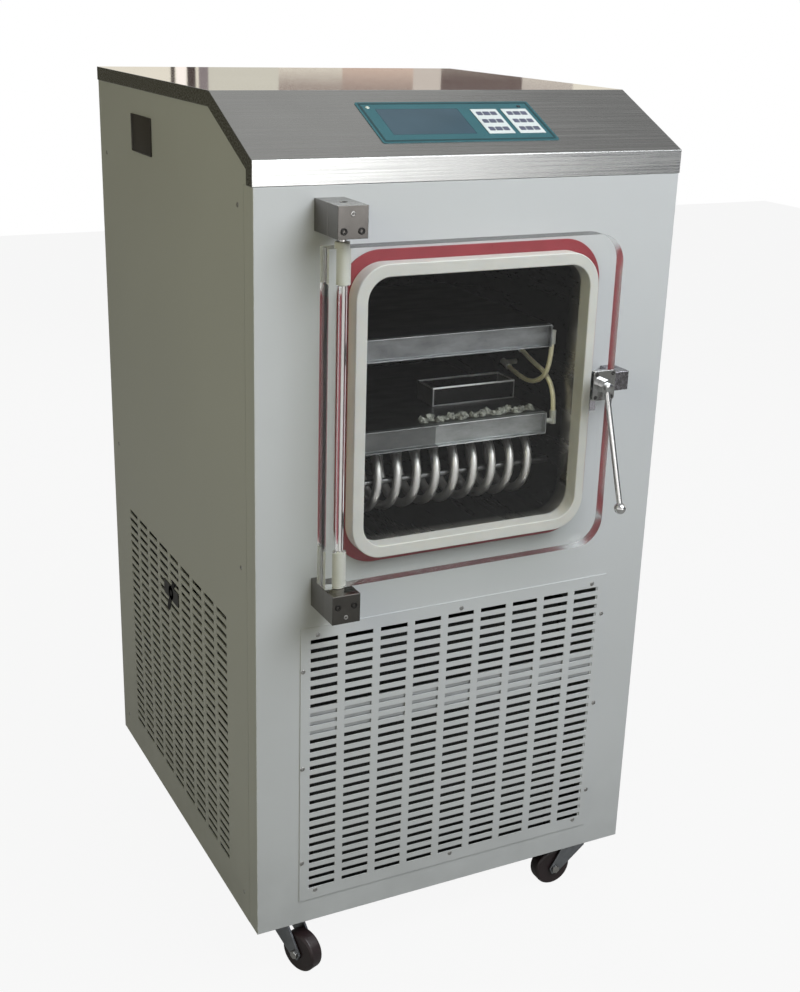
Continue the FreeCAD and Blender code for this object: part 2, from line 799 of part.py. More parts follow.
def hinge_block(name, low, front, rear):
    """Half of a hinge block, split at the rod so that its cap clamps the rod."""
    part = body(name)
    drawing = sketch(part, "XY_Plane", low)
    rectangle(drawing, "hinge_offset - block_width / 2", "hinge_offset + block_width / 2", front, rear)
    pad(part, drawing, "block_tall")
    bore = sketch(part, "XY_Plane", low)
    circle(bore, "hinge_offset", DOOR_MIDDLE, "rod_diameter / 2")
    pocket(part, bore, "block_tall")
    piece(name, part)


def hinge():
    lower = f"({DOOR_LOW} - lower_block_gap - block_tall)"
    upper = f"({DOOR_TOP} + upper_block_gap)"
    for side, low in (("lower", lower), ("upper", upper)):
        hinge_block(f"{side}_hinge_base", low, DOOR_MIDDLE, "0")
        hinge_block(f"{side}_hinge_cap", low, "-block_reach", DOOR_MIDDLE)
    rod = cylinder("hinge_rod", "rod_diameter / 2", f"{upper} - {lower} + block_tall - 2 * rod_inset")
    piece("hinge_rod", rod, "hinge_offset", DOOR_MIDDLE, f"{lower} + rod_inset")
    bushing("lower_bushing", f"({DOOR_LOW} - lower_block_gap + seam)")
    bushing("upper_bushing", f"({DOOR_TOP} + bushing_lip - bushing_length)")


door_panel()
hinge()


def latch_hub():
    """The plate on the door's face that the spindle turns in."""
    part = body("latch_hub")
    drawing = sketch(part, "XZ_Plane", HUB_FRONT)
    rectangle(drawing, "latch_offset - hub_width / 2", "latch_offset + hub_width / 2",
              "latch_height - hub_tall / 2", "latch_height + hub_tall / 2")
    pad(part, drawing, "hub_thickness")
    round_edges(part, ALONG_Y, "hub_corner")
    bore = sketch(part, "XZ_Plane", HUB_FRONT)
    circle(bore, "latch_offset", "latch_height", "spindle_diameter / 2 + running_gap")
    pocket(part, bore, "hub_thickness")
    piece("latch_hub", part)


def latch_tongue():
    """The tongue behind the door, hanging down when the latch is open."""
    part = body("latch_tongue")
    face = f"({DOOR_BACK} + throat_clearance / 2)"
    drawing = sketch(part, "XZ_Plane", face)
    rectangle(drawing, "latch_offset - tongue_width / 2", "latch_offset + tongue_width / 2",
              "latch_height - tongue_length", "latch_height + tongue_width / 2")
    pad(part, drawing, "tongue_thickness")
    round_edges(part, ALONG_Y, "tongue_round", lambda point: point.z > size("latch_height"))
    bore = sketch(part, "XZ_Plane", face)
    circle(bore, "latch_offset", "latch_height", "spindle_diameter / 2")
    pocket(part, bore, "tongue_thickness")
    piece("latch_tongue", part)


def latch_spindle():
    """The spindle through the door, with the lever pressed on its front end and the tongue behind."""
    rod = cylinder("latch_spindle", "spindle_diameter / 2", f"{TONGUE_BACK} - {BOSS_FRONT}", axis=(0, 1, 0))
    piece("latch_spindle", rod, "latch_offset", BOSS_FRONT, "latch_height")


def latch_keeper():
    """The channel-shaped keeper beside the door, open to the left and from end to end."""
    part = body("latch_keeper")
    right = f"({KEEPER_LEFT} + keeper_width)"
    web = f"({right} - keeper_wall)"
    rear = f"({TONGUE_BACK} + throat_clearance / 2)"
    lip = f"({DOOR_BACK} - keeper_lip)"
    drawing = sketch(part, "XY_Plane", "latch_height - keeper_tall / 2")
    polygon(drawing, [
        (KEEPER_LEFT, "0"), (KEEPER_LEFT, rear), (web, rear), (web, DOOR_BACK),
        (KEEPER_LEFT, DOOR_BACK), (KEEPER_LEFT, lip), (right, lip), (right, "0")])
    pad(part, drawing, "keeper_tall")
    piece("latch_keeper", part)


def lever():
    """The lever's boss with its leaning arm, and the ball screwed on the arm's end."""
    door_front = -size("neck_reach") - size("seal_crown") - size("door_gap") - size("door_thickness")
    boss_back = door_front - size("hub_thickness") - size("seam")
    boss_front = boss_back - size("boss_length")
    boss = Part.makeCylinder(size("boss_diameter") / 2, size("boss_length"),
                             FreeCAD.Vector(0, boss_front, 0), ALONG_Y)
    root = FreeCAD.Vector(0, (boss_front + boss_back) / 2, 0)
    ball_centre = FreeCAD.Vector(size("arm_lean"), -size("lever_reach"), -size("arm_drop"))
    reach = ball_centre - root
    rod = Part.makeCylinder(size("arm_diameter") / 2, reach.Length, root, reach)
    bore = Part.makeCylinder(size("spindle_diameter") / 2, size("boss_length"),
                             FreeCAD.Vector(0, boss_front, 0), ALONG_Y)
    arm = doc.addObject("Part::Feature", "lever_arm_shape")
    arm.Shape = boss.fuse(rod).cut(bore).removeSplitter()
    piece("lever_arm", arm, "latch_offset", "0", "latch_height")
    ball = doc.addObject("Part::Feature", "lever_knob_shape")
    ball.Shape = Part.makeSphere(size("ball_radius"), ball_centre).cut(rod)
    piece("lever_knob", ball, "latch_offset", "0", "latch_height")


latch_hub()
latch_tongue()
latch_spindle()
latch_keeper()
lever()


# ---- inside the chamber ----------------------------------------------------------------------

def shelf(name, low):
    """A hollow heated shelf, its front closed a little way in behind bright edges."""
    part = body(name)
    drawing = sketch(part, "XZ_Plane", "shelf_front")
    rectangle(drawing, "shelf_left", "shelf_right", low, f"{low} + shelf_thickness")
    pad(part, drawing, "shelf_depth")
    mouth = sketch(part, "XZ_Plane", "shelf_front")
    rectangle(mouth, "shelf_left + shelf_skin", "shelf_right - shelf_skin",
              f"{low} + shelf_skin", f"{low} + shelf_thickness - shelf_skin")
    pocket(part, mouth, "shelf_recess")
    piece(name, part)


def shelf_bracket(name, wall, end, low, front):
    """An angle welded to the chamber wall under one end of a shelf."""
    part = body(name)
    inward = "bracket_sheet" if wall == WALL_LEFT else "-bracket_sheet"
    drawing = sketch(part, "XZ_Plane", front)
    polygon(drawing, [
        (wall, low), (end, low), (end, f"{low} - bracket_sheet"),
        (f"{wall} + {inward}", f"{low} - bracket_sheet"),
        (f"{wall} + {inward}", f"{low} - bracket_drop"), (wall, f"{low} - bracket_drop")])
    pad(part, drawing, f"shelf_front + shelf_depth - ({front})")
    return part


def shelf_brackets():
    sides = {
        "left": (WALL_LEFT, "shelf_left + bracket_lap", "shelf_front + bracket_lap"),
        "right": (WALL_RIGHT, "shelf_right - bracket_lap", "bracket_front")}
    for side, (wall, end, front) in sides.items():
        pair = doc.addObject("Part::Compound", f"{side}_brackets_pair")
        pair.Links = [shelf_bracket(f"{side}_{level}", wall, end, level, front)
                      for level in ("upper_shelf", "lower_shelf")]
        piece(f"shelf_brackets_{side}", pair)


def product_tray():
    """The small open tray on the lower shelf."""
    part = body("product_tray")
    low = "(lower_shelf + shelf_thickness)"
    drawing = sketch(part, "XY_Plane", low)
    rectangle(drawing, "tray_left", "tray_left + tray_width", "tray_front", "tray_front + tray_depth")
    pad(part, drawing, "tray_height")
    hollow = sketch(part, "XY_Plane", f"{low} + tray_height")
    rectangle(hollow, "tray_left + tray_wall", "tray_left + tray_width - tray_wall",
              "tray_front + tray_wall", "tray_front + tray_depth - tray_wall")
    pocket(part, hollow, "tray_height - tray_wall", forward=False)
    piece("product_tray", part)


shelf("upper_shelf_plate", "upper_shelf")
shelf("lower_shelf_plate", "lower_shelf")
shelf_brackets()
product_tray()


ARC_SHARE = 0.45


def rounded_path(points):
    """Straight runs joined by tangent arcs as large as the runs allow, with the arcs' radii."""
    edges = []
    radii = []
    start = points[0]
    for before, corner, after in zip(points, points[1:], points[2:]):
        arrive = (corner - before).normalize()
        leave = (after - corner).normalize()
        turn = arrive.getAngle(leave)
        setback = ARC_SHARE * min((corner - before).Length, (after - corner).Length)
        first = corner - arrive * setback
        last = corner + leave * setback
        radius = setback / math.tan(turn / 2)
        inward = (leave - arrive).normalize()
        middle = corner + inward * (radius / math.cos(turn / 2) - radius)
        edges.append(Part.LineSegment(start, first).toShape())
        edges.append(Part.Arc(first, middle, last).toShape())
        radii.append(round(radius, 1))
        start = last
    edges.append(Part.LineSegment(start, points[-1]).toShape())
    return Part.Wire(edges), radii


def swept(path, radius):
    """A round bar along a path."""
    start = path.Edges[0].valueAt(path.Edges[0].FirstParameter)
    along = path.Edges[0].tangentAt(path.Edges[0].FirstParameter)
    ring = Part.Wire(Part.makeCircle(radius, start, along))
    return path.makePipeShell([ring], True, True)


def hose(name, across, points):
    """A limp silicone hose hanging from one elbow to the other."""
    across_face = size("shelf_right") + across
    path, radii = rounded_path([FreeCAD.Vector(across_face, y, z) for y, z in points])
    tube = doc.addObject("Part::Feature", name + "_shape")
    tube.Shape = swept(path, size("hose_diameter") / 2)
    section = math.pi * (size("hose_diameter") / 2) ** 2
    print(name, "radii", radii, "volume ratio", round(tube.Shape.Volume / (section * path.Length), 4))
    piece(name, tube)
    return path


def elbow(wall, corner, end):
    """A fitting: a stem out of a wall and, across it, the thicker spigot that the hose meets."""
    radius = size("elbow_diameter") / 2
    toward = (end - corner).normalize()
    stem = Part.makeCylinder(size("stem_diameter") / 2, (corner - wall).Length, wall, corner - wall)
    spigot = Part.makeCylinder(radius, (end - corner).Length + radius, corner - toward * radius, toward)
    return spigot.fuse(stem).removeSplitter()


def hoses():
    """Two hoses from the shelves' right ends to the chamber wall, crossing on the way."""
    shelf_end = size("shelf_right")
    wall = size("neck_offset") + size("chamber_width") / 2
    reach = size("elbow_reach")
    upper_port = size("upper_shelf") + size("shelf_thickness") / 2
    lower_port = size("lower_shelf") + size("shelf_thickness") / 2
    near = size("hose_diameter") / 2 + size("hose_clearance")
    routes = {
        "upper_hose": (near, [
            (32, upper_port - reach), (33, 758), (61, 733), (98, 727), (136, 736)]),
        "lower_hose": (near + size("hose_spacing"), [
            (30, lower_port + reach), (31, 727), (55, 748), (88, 754), (117, 764)])}
    fittings = []
    for name, (across, points) in routes.items():
        hose(name, across, points)
        route = [FreeCAD.Vector(shelf_end + across, y, z) for y, z in points]
        for end, inner, side in ((route[0], route[1], shelf_end), (route[-1], route[-2], wall)):
            corner = end + (end - inner).normalize() * reach
            fittings.append(elbow(FreeCAD.Vector(side, corner.y, corner.z), corner, end))
    group = doc.addObject("Part::Feature", "hose_elbows_shape")
    group.Shape = Part.makeCompound(fittings)
    piece("hose_elbows", group)


hoses()


def evaporator_coil():
    """The cold coil: a helix about x made of quarter turns, its ends leaving through the back."""
    pitch = size("coil_pitch")
    radius = size("coil_radius")
    first = -pitch * (size("coil_turns") - 1) / 2

    def on_helix(turns):
        angle = 2 * math.pi * turns
        return FreeCAD.Vector(first + pitch * turns, -radius * math.cos(angle), radius * math.sin(angle))

    back = size("chamber_depth") + size("chamber_wall") + size("coil_stub") - size("coil_behind")
    low_end = on_helix(-0.25)
    high_end = on_helix(size("coil_turns") - 0.75)
    quarters = int(4 * size("coil_turns") - 2)
    edges = [Part.LineSegment(low_end + ALONG_Y * back, low_end).toShape()]
    for k in range(quarters):
        start = -0.25 + k / 4
        arc = Part.Arc(on_helix(start), on_helix(start + 0.125), on_helix(start + 0.25))
        edges.append(arc.toShape())
    edges.append(Part.LineSegment(high_end, high_end + ALONG_Y * back).toShape())
    path = Part.Wire(edges)
    corners = 8
    ring = []
    flat_radius = size("tube_diameter") / 2
    for k in range(corners + 1):
        angle = 2 * math.pi * (k + 0.5) / corners
        ring.append(low_end + ALONG_Y * back + ALONG_X * flat_radius * math.cos(angle)
                    + ALONG_Z * flat_radius * math.sin(angle))
    shell = Part.BRepOffsetAPI.MakePipeShell(path)
    shell.setBiNormalMode(ALONG_X)
    shell.add(Part.makePolygon(ring))
    shell.build()
    shell.makeSolid()
    coil = doc.addObject("Part::Feature", "evaporator_coil_shape")
    coil.Shape = shell.shape()
    piece("evaporator_coil", coil, "0", "coil_behind", COIL_LEVEL)
    rod = cylinder("coil_tie_rod", "tie_rod_diameter / 2", "chamber_width", axis=(1, 0, 0))
    inner_front = "(coil_behind - coil_radius + tube_diameter / 2 + tie_rod_diameter / 2 + seam)"
    piece("coil_tie_rod", rod, WALL_LEFT, inner_front, f"{COIL_LEVEL} + tie_rod_rise")


evaporator_coil()


# ---- refrigeration plant under the deck ------------------------------------------------------

CORE_BACK = "(condenser_front + condenser_depth)"
RING_BACK = f"({CORE_BACK} + shroud_depth)"
FAN_LEVEL = "(pan_sheet + condenser_tall / 2)"


def condenser():
    """The finned block between its two header plates, standing on the pan."""
    part = body("condenser")
    core = sketch(part, "XZ_Plane", "condenser_front")
    rectangle(core, "-condenser_width / 2", "condenser_width / 2",
              "pan_sheet + header_lap", "pan_sheet + condenser_tall - header_lap")
    pad(part, core, "condenser_depth")
    for side in (-1, 1):
        plate = sketch(part, "XZ_Plane", "condenser_front - header_lap")
        inner = f"{side} * (condenser_width / 2 - header_width)"
        outer = f"{side} * condenser_width / 2"
        left, right = (outer, inner) if side < 0 else (inner, outer)
        rectangle(plate, left, right, "pan_sheet", "pan_sheet + condenser_tall")
        pad(part, plate, "condenser_depth + header_lap")
    piece("condenser", part)


def fan_shroud():
    """The plate behind the condenser with the fan's ring and the bars that carry the motor."""
    part = body("fan_shroud")
    plate = sketch(part, "XZ_Plane", CORE_BACK)
    rectangle(plate, "-condenser_width / 2", "condenser_width / 2", "pan_sheet", "pan_sheet + condenser_tall")
    pad(part, plate, "shroud_sheet")
    ring = sketch(part, "XZ_Plane", CORE_BACK)
    circle(ring, "0", FAN_LEVEL, "fan_radius + fan_tip_gap + shroud_sheet")
    pad(part, ring, "shroud_depth")
    hole = sketch(part, "XZ_Plane", CORE_BACK)
    circle(hole, "0", FAN_LEVEL, "fan_radius + fan_tip_gap")
    pocket(part, hole, "shroud_depth")
    reach = "(fan_radius + fan_tip_gap + shroud_sheet / 2)"
    bars = sketch(part, "XZ_Plane", f"{RING_BACK} - spider_sheet")
    rectangle(bars, f"-{reach}", reach, f"{FAN_LEVEL} - spider_bar / 2", f"{FAN_LEVEL} + spider_bar / 2")
    pad(part, bars, "spider_sheet")
    upright = sketch(part, "XZ_Plane", f"{RING_BACK} - spider_sheet")
    rectangle(upright, "-spider_bar / 2", "spider_bar / 2", f"{FAN_LEVEL} - {reach}", f"{FAN_LEVEL} + {reach}")
    pad(part, upright, "spider_sheet")
    shaft_hole = sketch(part, "XZ_Plane", f"{RING_BACK} - spider_sheet")
    circle(shaft_hole, "0", FAN_LEVEL, "shaft_radius + neck_gap / 2")
    pocket(part, shaft_hole, "spider_sheet")
    piece("fan_shroud", part)


def fan_motor():
    """The motor on the spider, bored for the fan's shaft."""
    case = cylinder("fan_motor", "motor_radius", "motor_length", axis=(0, 1, 0))
    bore = cylinder("fan_motor_bore", "shaft_radius + running_gap", "shaft_seat", axis=(0, 1, 0))
    piece("fan_motor", cut("fan_motor", case, bore), "0", RING_BACK, FAN_LEVEL)


def condenser_fan():
    """Hub, shaft and slanted blades repeated about the shaft."""
    part = body("condenser_fan")
    front = f"({CORE_BACK} + shroud_sheet + fan_gap)"
    hub = sketch(part, "XZ_Plane", front)
    circle(hub, "0", "0", "fan_hub_radius")
    pad(part, hub, "fan_width")
    shaft = sketch(part, "XZ_Plane", front)
    circle(shaft, "0", "0", "shaft_radius")
    pad(part, shaft, f"{RING_BACK} + shaft_seat - seam - {front}")
    blade = sketch(part, "YZ_Plane", "blade_root")
    slant = "fan_width"
    polygon(blade, [
        (f"{front} + seam", f"{slant}"), (f"{front} + seam + blade_thickness", f"{slant}"),
        (f"{front} + fan_width - seam", f"-{slant}"),
        (f"{front} + fan_width - seam - blade_thickness", f"-{slant}")])
    doc.recompute()
    one = pad(part, blade, "fan_radius - blade_root - fan_tip_gap")
    around = part.newObject("PartDesign::PolarPattern", "fan_blades")
    around.Originals = [one]
    around.Axis = (hub, ["N_Axis"])
    around.Angle = 360
    bind(around, {"Occurrences": "blade_count"})
    part.Tip = around
    piece("condenser_fan", part, "0", "0", FAN_LEVEL)


def compressor():
    """A hermetic compressor welded to its mounting plate, on four rubber feet."""
    part = body("compressor")
    plate_low = "(pan_sheet + foot_height)"
    shell = sketch(part, "XY_Plane", f"{plate_low} + compressor_plate")
    circle(shell, "0", "0", "compressor_radius")
    pad(part, shell, "compressor_tall")
    doc.recompute()
    top = size("pan_sheet") + size("foot_height") + size("compressor_plate") + size("compressor_tall")
    can = part.Tip
    rim = [f"Edge{number}" for number, edge in enumerate(can.Shape.Edges, start=1)
           if abs(edge.CenterOfMass.z - top) < 1]
    dome = part.newObject("PartDesign::Fillet", "compressor_dome_fillet")
    dome.Base = (can, rim)
    bind(dome, {"Radius": "compressor_dome"})
    part.Tip = dome
    plate = sketch(part, "XY_Plane", plate_low)
    reach = "(foot_spread + foot_half + compressor_plate)"
    rectangle(plate, f"-{reach}", reach, f"-{reach}", reach)
    pad(part, plate, "compressor_plate")
    piece("compressor", part, "compressor_across", "compressor_back")
    feet = body("compressor_feet")
    blocks = sketch(feet, "XY_Plane", "pan_sheet")
    for across in (-1, 1):
        for along in (-1, 1):
            rectangle(blocks, f"{across} * foot_spread - foot_half", f"{across} * foot_spread + foot_half",
                      f"{along} * foot_spread - foot_half", f"{along} * foot_spread + foot_half")
    pad(feet, blocks, "foot_height")
    piece("compressor_feet", feet, "compressor_across", "compressor_back")


condenser()
fan_shroud()
fan_motor()
condenser_fan()
compressor()


# ---- services --------------------------------------------------------------------------------

def vacuum_pipe():
    """The pipe from the chamber's back wall to the vacuum flange behind the cabinet."""
    part = body("vacuum_pipe")
    bore = "pipe_bore / 2"
    outer = "(pipe_bore / 2 + pipe_wall)"
    rim = "port_flange / 2"
    end = "(cabinet_depth + port_reach)"
    drawing = sketch(part, "XY_Plane")
    polygon(drawing, [
        (bore, "chamber_depth"), (outer, "chamber_depth"),
        (outer, f"{end} - 2 * port_flange_thickness"), (rim, f"{end} - port_flange_thickness"),
        (rim, end), (bore, end)])
    turned = part.newObject("PartDesign::Revolution", "vacuum_pipe_turned")
    turned.Profile = drawing
    turned.ReferenceAxis = (drawing, ["V_Axis"])
    turned.Angle = 360
    part.Tip = turned
    piece("vacuum_pipe", part, "pipe_across", "0", "pipe_height")


def power_inlet():
    """The appliance inlet: a rim on the rear sheet, a socket behind it and three contacts."""
    part = body("power_inlet")
    rim = sketch(part, "XZ_Plane", "cabinet_depth")
    rectangle(rim, "-(inlet_width / 2 + inlet_rim)", "inlet_width / 2 + inlet_rim",
              "-(inlet_tall / 2 + inlet_rim)", "inlet_tall / 2 + inlet_rim")
    pad(part, rim, "inlet_rim_sheet")
    case = sketch(part, "XZ_Plane", "cabinet_depth")
    rectangle(case, "-inlet_width / 2", "inlet_width / 2", "-inlet_tall / 2", "inlet_tall / 2")
    pad(part, case, "inlet_depth", forward=False)
    socket = sketch(part, "XZ_Plane", "cabinet_depth + inlet_rim_sheet")
    rectangle(socket, "-inlet_width / 2 + inlet_wall", "inlet_width / 2 - inlet_wall",
              "-inlet_tall / 2 + inlet_wall", "inlet_tall / 2 - inlet_wall")
    pocket(part, socket, "inlet_depth + inlet_rim_sheet - inlet_floor", forward=False)
    for step in (-1, 0, 1):
        contact = sketch(part, "XZ_Plane", "cabinet_depth - inlet_depth + inlet_floor")
        level = f"{step} * contact_spacing"
        rectangle(contact, "-contact_tall / 2", "contact_tall / 2",
                  f"{level} - contact_width / 2", f"{level} + contact_width / 2")
        pad(part, contact, "contact_length")
    piece("power_inlet", part, "inlet_across", "0", "inlet_height")


def drain():
    """The black drain fitting on the left side and the tube that leads to it from the chamber."""
    part = body("drain_port")
    plate = sketch(part, "YZ_Plane")
    rectangle(plate, "-drain_plate_width / 2", "drain_plate_width / 2",
              "-drain_plate_height / 2", "drain_plate_height / 2")
    pad(part, plate, "drain_plate", forward=False)
    barrel = sketch(part, "YZ_Plane")
    circle(barrel, "0", "0", "drain_barrel / 2")
    pad(part, barrel, "drain_length")
    bore = sketch(part, "YZ_Plane")
    circle(bore, "0", "0", "drain_bore / 2")
    pocket(part, bore)
    piece("drain_port", part, f"-{SIDE}", "drain_back", "drain_height")
    chamber_floor = size("neck_height") - size("chamber_tall") / 2 - size("chamber_wall")
    drop = chamber_floor - size("drain_height")
    run = size("cabinet_width") / 2 - size("sheet") - size("drain_length") + size("drain_across")
    bend = size("drain_bend")
    corner = bend * (1 - math.sqrt(0.5))
    edges = [
        Part.LineSegment(FreeCAD.Vector(0, 0, drop), FreeCAD.Vector(0, 0, bend)).toShape(),
        Part.Arc(FreeCAD.Vector(0, 0, bend), FreeCAD.Vector(-corner, 0, corner),
                 FreeCAD.Vector(-bend, 0, 0)).toShape(),
        Part.LineSegment(FreeCAD.Vector(-bend, 0, 0), FreeCAD.Vector(-run, 0, 0)).toShape()]
    path = Part.Wire(edges)
    tube = doc.addObject("Part::Feature", "drain_tube_shape")
    tube.Shape = swept(path, size("drain_tube") / 2)
    piece("drain_tube", tube, "drain_across", "drain_back", "drain_height")


vacuum_pipe()
power_inlet()
drain()


# ---- castors, each drawn about its own swivel axis ------------------------------------------

AXLE_LEVEL = "(wheel_radius - castor_height)"
RACE_LOW = "(-castor_plate_sheet - race_height)"
CROWN_LOW = f"({RACE_LOW} - crown_gap - fork_sheet)"
PIN_LOW = f"({CROWN_LOW} - crown_gap)"
LEG_IN = "(wheel_width / 2 + wheel_side_gap)"
CROWN_HALF = "(castor_plate / 2 - fork_inset)"


def castor_plate(name):
    """Mounting plate with its ball race and the riveted king pin."""
    plate = box(name, "castor_plate", "castor_plate", "castor_plate_sheet",
                "-castor_plate / 2", "-castor_plate / 2", "-castor_plate_sheet")
    race = cylinder(name + "_race", "race_radius", "race_height", z=RACE_LOW)
    pin = cylinder(name + "_pin", "king_pin_radius", f"{RACE_LOW} - {PIN_LOW}", z=PIN_LOW)
    return fuse(name, plate, race, pin)


def castor_fork(name):
    """A pressed fork hung from the king pin, with the wheel's axle riveted across its legs."""
    part = body(name)
    crown = sketch(part, "XY_Plane", CROWN_LOW)
    rectangle(crown, f"-{CROWN_HALF}", CROWN_HALF, f"-({LEG_IN} + fork_sheet)", f"{LEG_IN} + fork_sheet")
    pad(part, crown, "fork_sheet")
    low_side = f"({AXLE_LEVEL} - fork_boss)"
    for side in (-1, 1):
        leg = sketch(part, "XZ_Plane", LEG_IN if side > 0 else f"-({LEG_IN} + fork_sheet)")
        polygon(leg, [
            (f"-{CROWN_HALF}", f"{CROWN_LOW} + fork_sheet"), (CROWN_HALF, f"{CROWN_LOW} + fork_sheet"),
            ("castor_trail + fork_boss", AXLE_LEVEL), ("castor_trail + fork_boss / 2", low_side),
            ("castor_trail - fork_boss / 2", low_side), (f"-{CROWN_HALF}", f"{CROWN_LOW} - fork_boss")])
        pad(part, leg, "fork_sheet")
    axle = sketch(part, "XZ_Plane", f"-({LEG_IN} + fork_sheet)")
    circle(axle, "castor_trail", AXLE_LEVEL, "axle_radius")
    pad(part, axle, f"2 * ({LEG_IN} + fork_sheet)")
    bore = sketch(part, "XY_Plane", CROWN_LOW)
    circle(bore, "0", "0", "king_pin_radius + running_gap")
    pocket(part, bore, "2 * fork_sheet", forward=True)
    return part


def castor_wheel(name):
    """A moulded wheel with a crowned tread, bored for the axle."""
    part = body(name)
    half = "wheel_width / 2"
    bore = "(axle_radius + running_gap)"
    drawing = sketch(part, "XY_Plane")
    polygon(drawing, [
        (bore, f"-{half}"), ("wheel_radius - wheel_crown", f"-{half}"),
        ("wheel_radius", f"-{half} + wheel_crown"), ("wheel_radius", f"{half} - wheel_crown"),
        ("wheel_radius - wheel_crown", half), (bore, half)])
    turned = part.newObject("PartDesign::Revolution", name + "_turned")
    turned.Profile = drawing
    turned.ReferenceAxis = (drawing, ["V_Axis"])
    turned.Angle = 360
    part.Tip = turned
    return part


def castors():
    plates = []
    corners = {
        "front_left": ("-castor_across", "castor_inset"),
        "front_right": ("castor_across", "castor_inset"),
        "rear_left": ("-castor_across", "(cabinet_depth - castor_inset)"),
        "rear_right": ("castor_across", "(cabinet_depth - castor_inset)")}
    for corner, (across, back) in corners.items():
        plates.append(place(castor_plate(f"{corner}_plate"), across, back))
        fork = castor_fork(f"{corner}_fork")
        fork.Placement = FreeCAD.Placement(FreeCAD.Vector(), FreeCAD.Rotation(ALONG_Z, 30))
        piece(f"castor_fork_{corner}", fork, across, back)
        bind(fork, {"Placement.Rotation.Angle": f"{corner}_swing * 1 deg"})
        wheel = castor_wheel(f"{corner}_wheel")
        wheel.Placement = FreeCAD.Placement(FreeCAD.Vector(), FreeCAD.Rotation(ALONG_Z, 30))
        piece(f"castor_wheel_{corner}", wheel, f"{across} + castor_trail * cos({corner}_swing * 1 deg)",
              f"{back} + castor_trail * sin({corner}_swing * 1 deg)", AXLE_LEVEL)
        bind(wheel, {"Placement.Rotation.Angle": f"{corner}_swing * 1 deg"})
    group = doc.addObject("Part::Compound", "castor_plates_group")
    group.Links = plates
    piece("castor_plates", group)


castors()


# ---- check and write -------------------------------------------------------------------------

doc.recompute()
for thing in doc.Objects:
    for state in thing.State:
        if state in ("Invalid", "Error"):
            raise RuntimeError(f"{thing.Label} is {state}")
for before, after in cuts:
    if after.Shape.Volume >= before.Shape.Volume:
        raise RuntimeError(f"{after.Name} cuts nothing")
for thing in pieces:
    if thing.Shape.isNull() or not thing.Shape.isValid():
        raise RuntimeError(f"{thing.Label} has no valid shape")
os.makedirs("parts", exist_ok=True)
for thing in pieces:
    thing.Shape.exportStep(f"parts/{thing.Label}.step")
print(len(pieces), "pieces")
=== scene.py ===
"""A shelf freeze dryer on castors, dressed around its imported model."""
import math

import bpy
from mathutils import Matrix, Vector


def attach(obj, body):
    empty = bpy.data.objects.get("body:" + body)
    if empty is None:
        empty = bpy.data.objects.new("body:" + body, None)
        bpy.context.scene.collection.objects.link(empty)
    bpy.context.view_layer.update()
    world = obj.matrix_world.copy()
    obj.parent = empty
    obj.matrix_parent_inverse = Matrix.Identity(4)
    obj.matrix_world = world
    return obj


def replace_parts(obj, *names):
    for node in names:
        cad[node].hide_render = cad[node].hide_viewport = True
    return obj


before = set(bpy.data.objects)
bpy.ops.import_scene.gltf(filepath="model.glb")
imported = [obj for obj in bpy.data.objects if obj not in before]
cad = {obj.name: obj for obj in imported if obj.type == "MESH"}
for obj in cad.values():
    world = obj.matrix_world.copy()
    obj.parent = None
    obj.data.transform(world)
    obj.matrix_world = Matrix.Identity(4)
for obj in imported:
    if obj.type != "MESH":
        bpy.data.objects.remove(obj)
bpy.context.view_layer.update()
bpy.ops.object.select_all(action="DESELECT")


# ---- camera --------------------------------------------------------------------------------
# A camera at standing height, left of the door and a little above it. It looks down at the
# machine and is held slightly off level.
view_turn = math.radians(27.30)
view_drop = math.radians(19.82)
view_roll = math.radians(1.801)
ahead = Vector((math.sin(view_turn) * math.cos(view_drop), math.cos(view_turn) * math.cos(view_drop),
                -math.sin(view_drop)))
level = ahead.cross(Vector((0, 0, 1))).normalized()
above = level.cross(ahead)
across = level * math.cos(view_roll) + above * math.sin(view_roll)
upright = above * math.cos(view_roll) - level * math.sin(view_roll)
bpy.ops.object.camera_add(location=(-0.87256, -1.78871, 1.30601))
camera = bpy.context.object
camera.rotation_euler = Matrix((across, upright, -ahead)).transposed().to_euler()
camera.data.sensor_fit = "HORIZONTAL"
camera.data.sensor_width = 36
camera.data.lens = 62.57
camera.data.dof.use_dof = False
bpy.context.scene.camera = camera
bpy.context.scene.view_settings.view_transform = "Standard"


# ---- floor and light -----------------------------------------------------------------------
# A pale studio floor with a soft key light from the front right, weaker ones from the left, the
# back and above, and a pale room. What stands in the room shows only in bright metal.
def blank_material(name):
    """A new material with an empty node tree and its output."""
    material = bpy.data.materials.new(name)
    material.use_nodes = True
    material.node_tree.nodes.clear()
    output = material.node_tree.nodes.new("ShaderNodeOutputMaterial")
    return material, material.node_tree, output


def arithmetic(tree, kind, one, two):
    """One Math node. Each side is a number or a socket."""
    node = tree.nodes.new("ShaderNodeMath")
    node.operation = kind
    for socket, amount in zip(node.inputs, (one, two)):
        if isinstance(amount, (int, float)):
            socket.default_value = amount
        else:
            tree.links.new(amount, socket)
    return node.outputs[0]


def mixed_shaders(tree, share, first, second):
    """The first shader, giving way to the second as the share rises to 1."""
    mix = tree.nodes.new("ShaderNodeMixShader")
    tree.links.new(share, mix.inputs["Fac"])
    tree.links.new(first.outputs[0], mix.inputs[1])
    tree.links.new(second.outputs[0], mix.inputs[2])
    return mix


def axes_of(tree, kind="Object"):
    """The x, y and z of a place on the piece, of its facing, or of a direction in the room."""
    place = tree.nodes.new("ShaderNodeTexCoord")
    axes = tree.nodes.new("ShaderNodeSeparateXYZ")
    tree.links.new(place.outputs[kind], axes.inputs[0])
    return axes.outputs


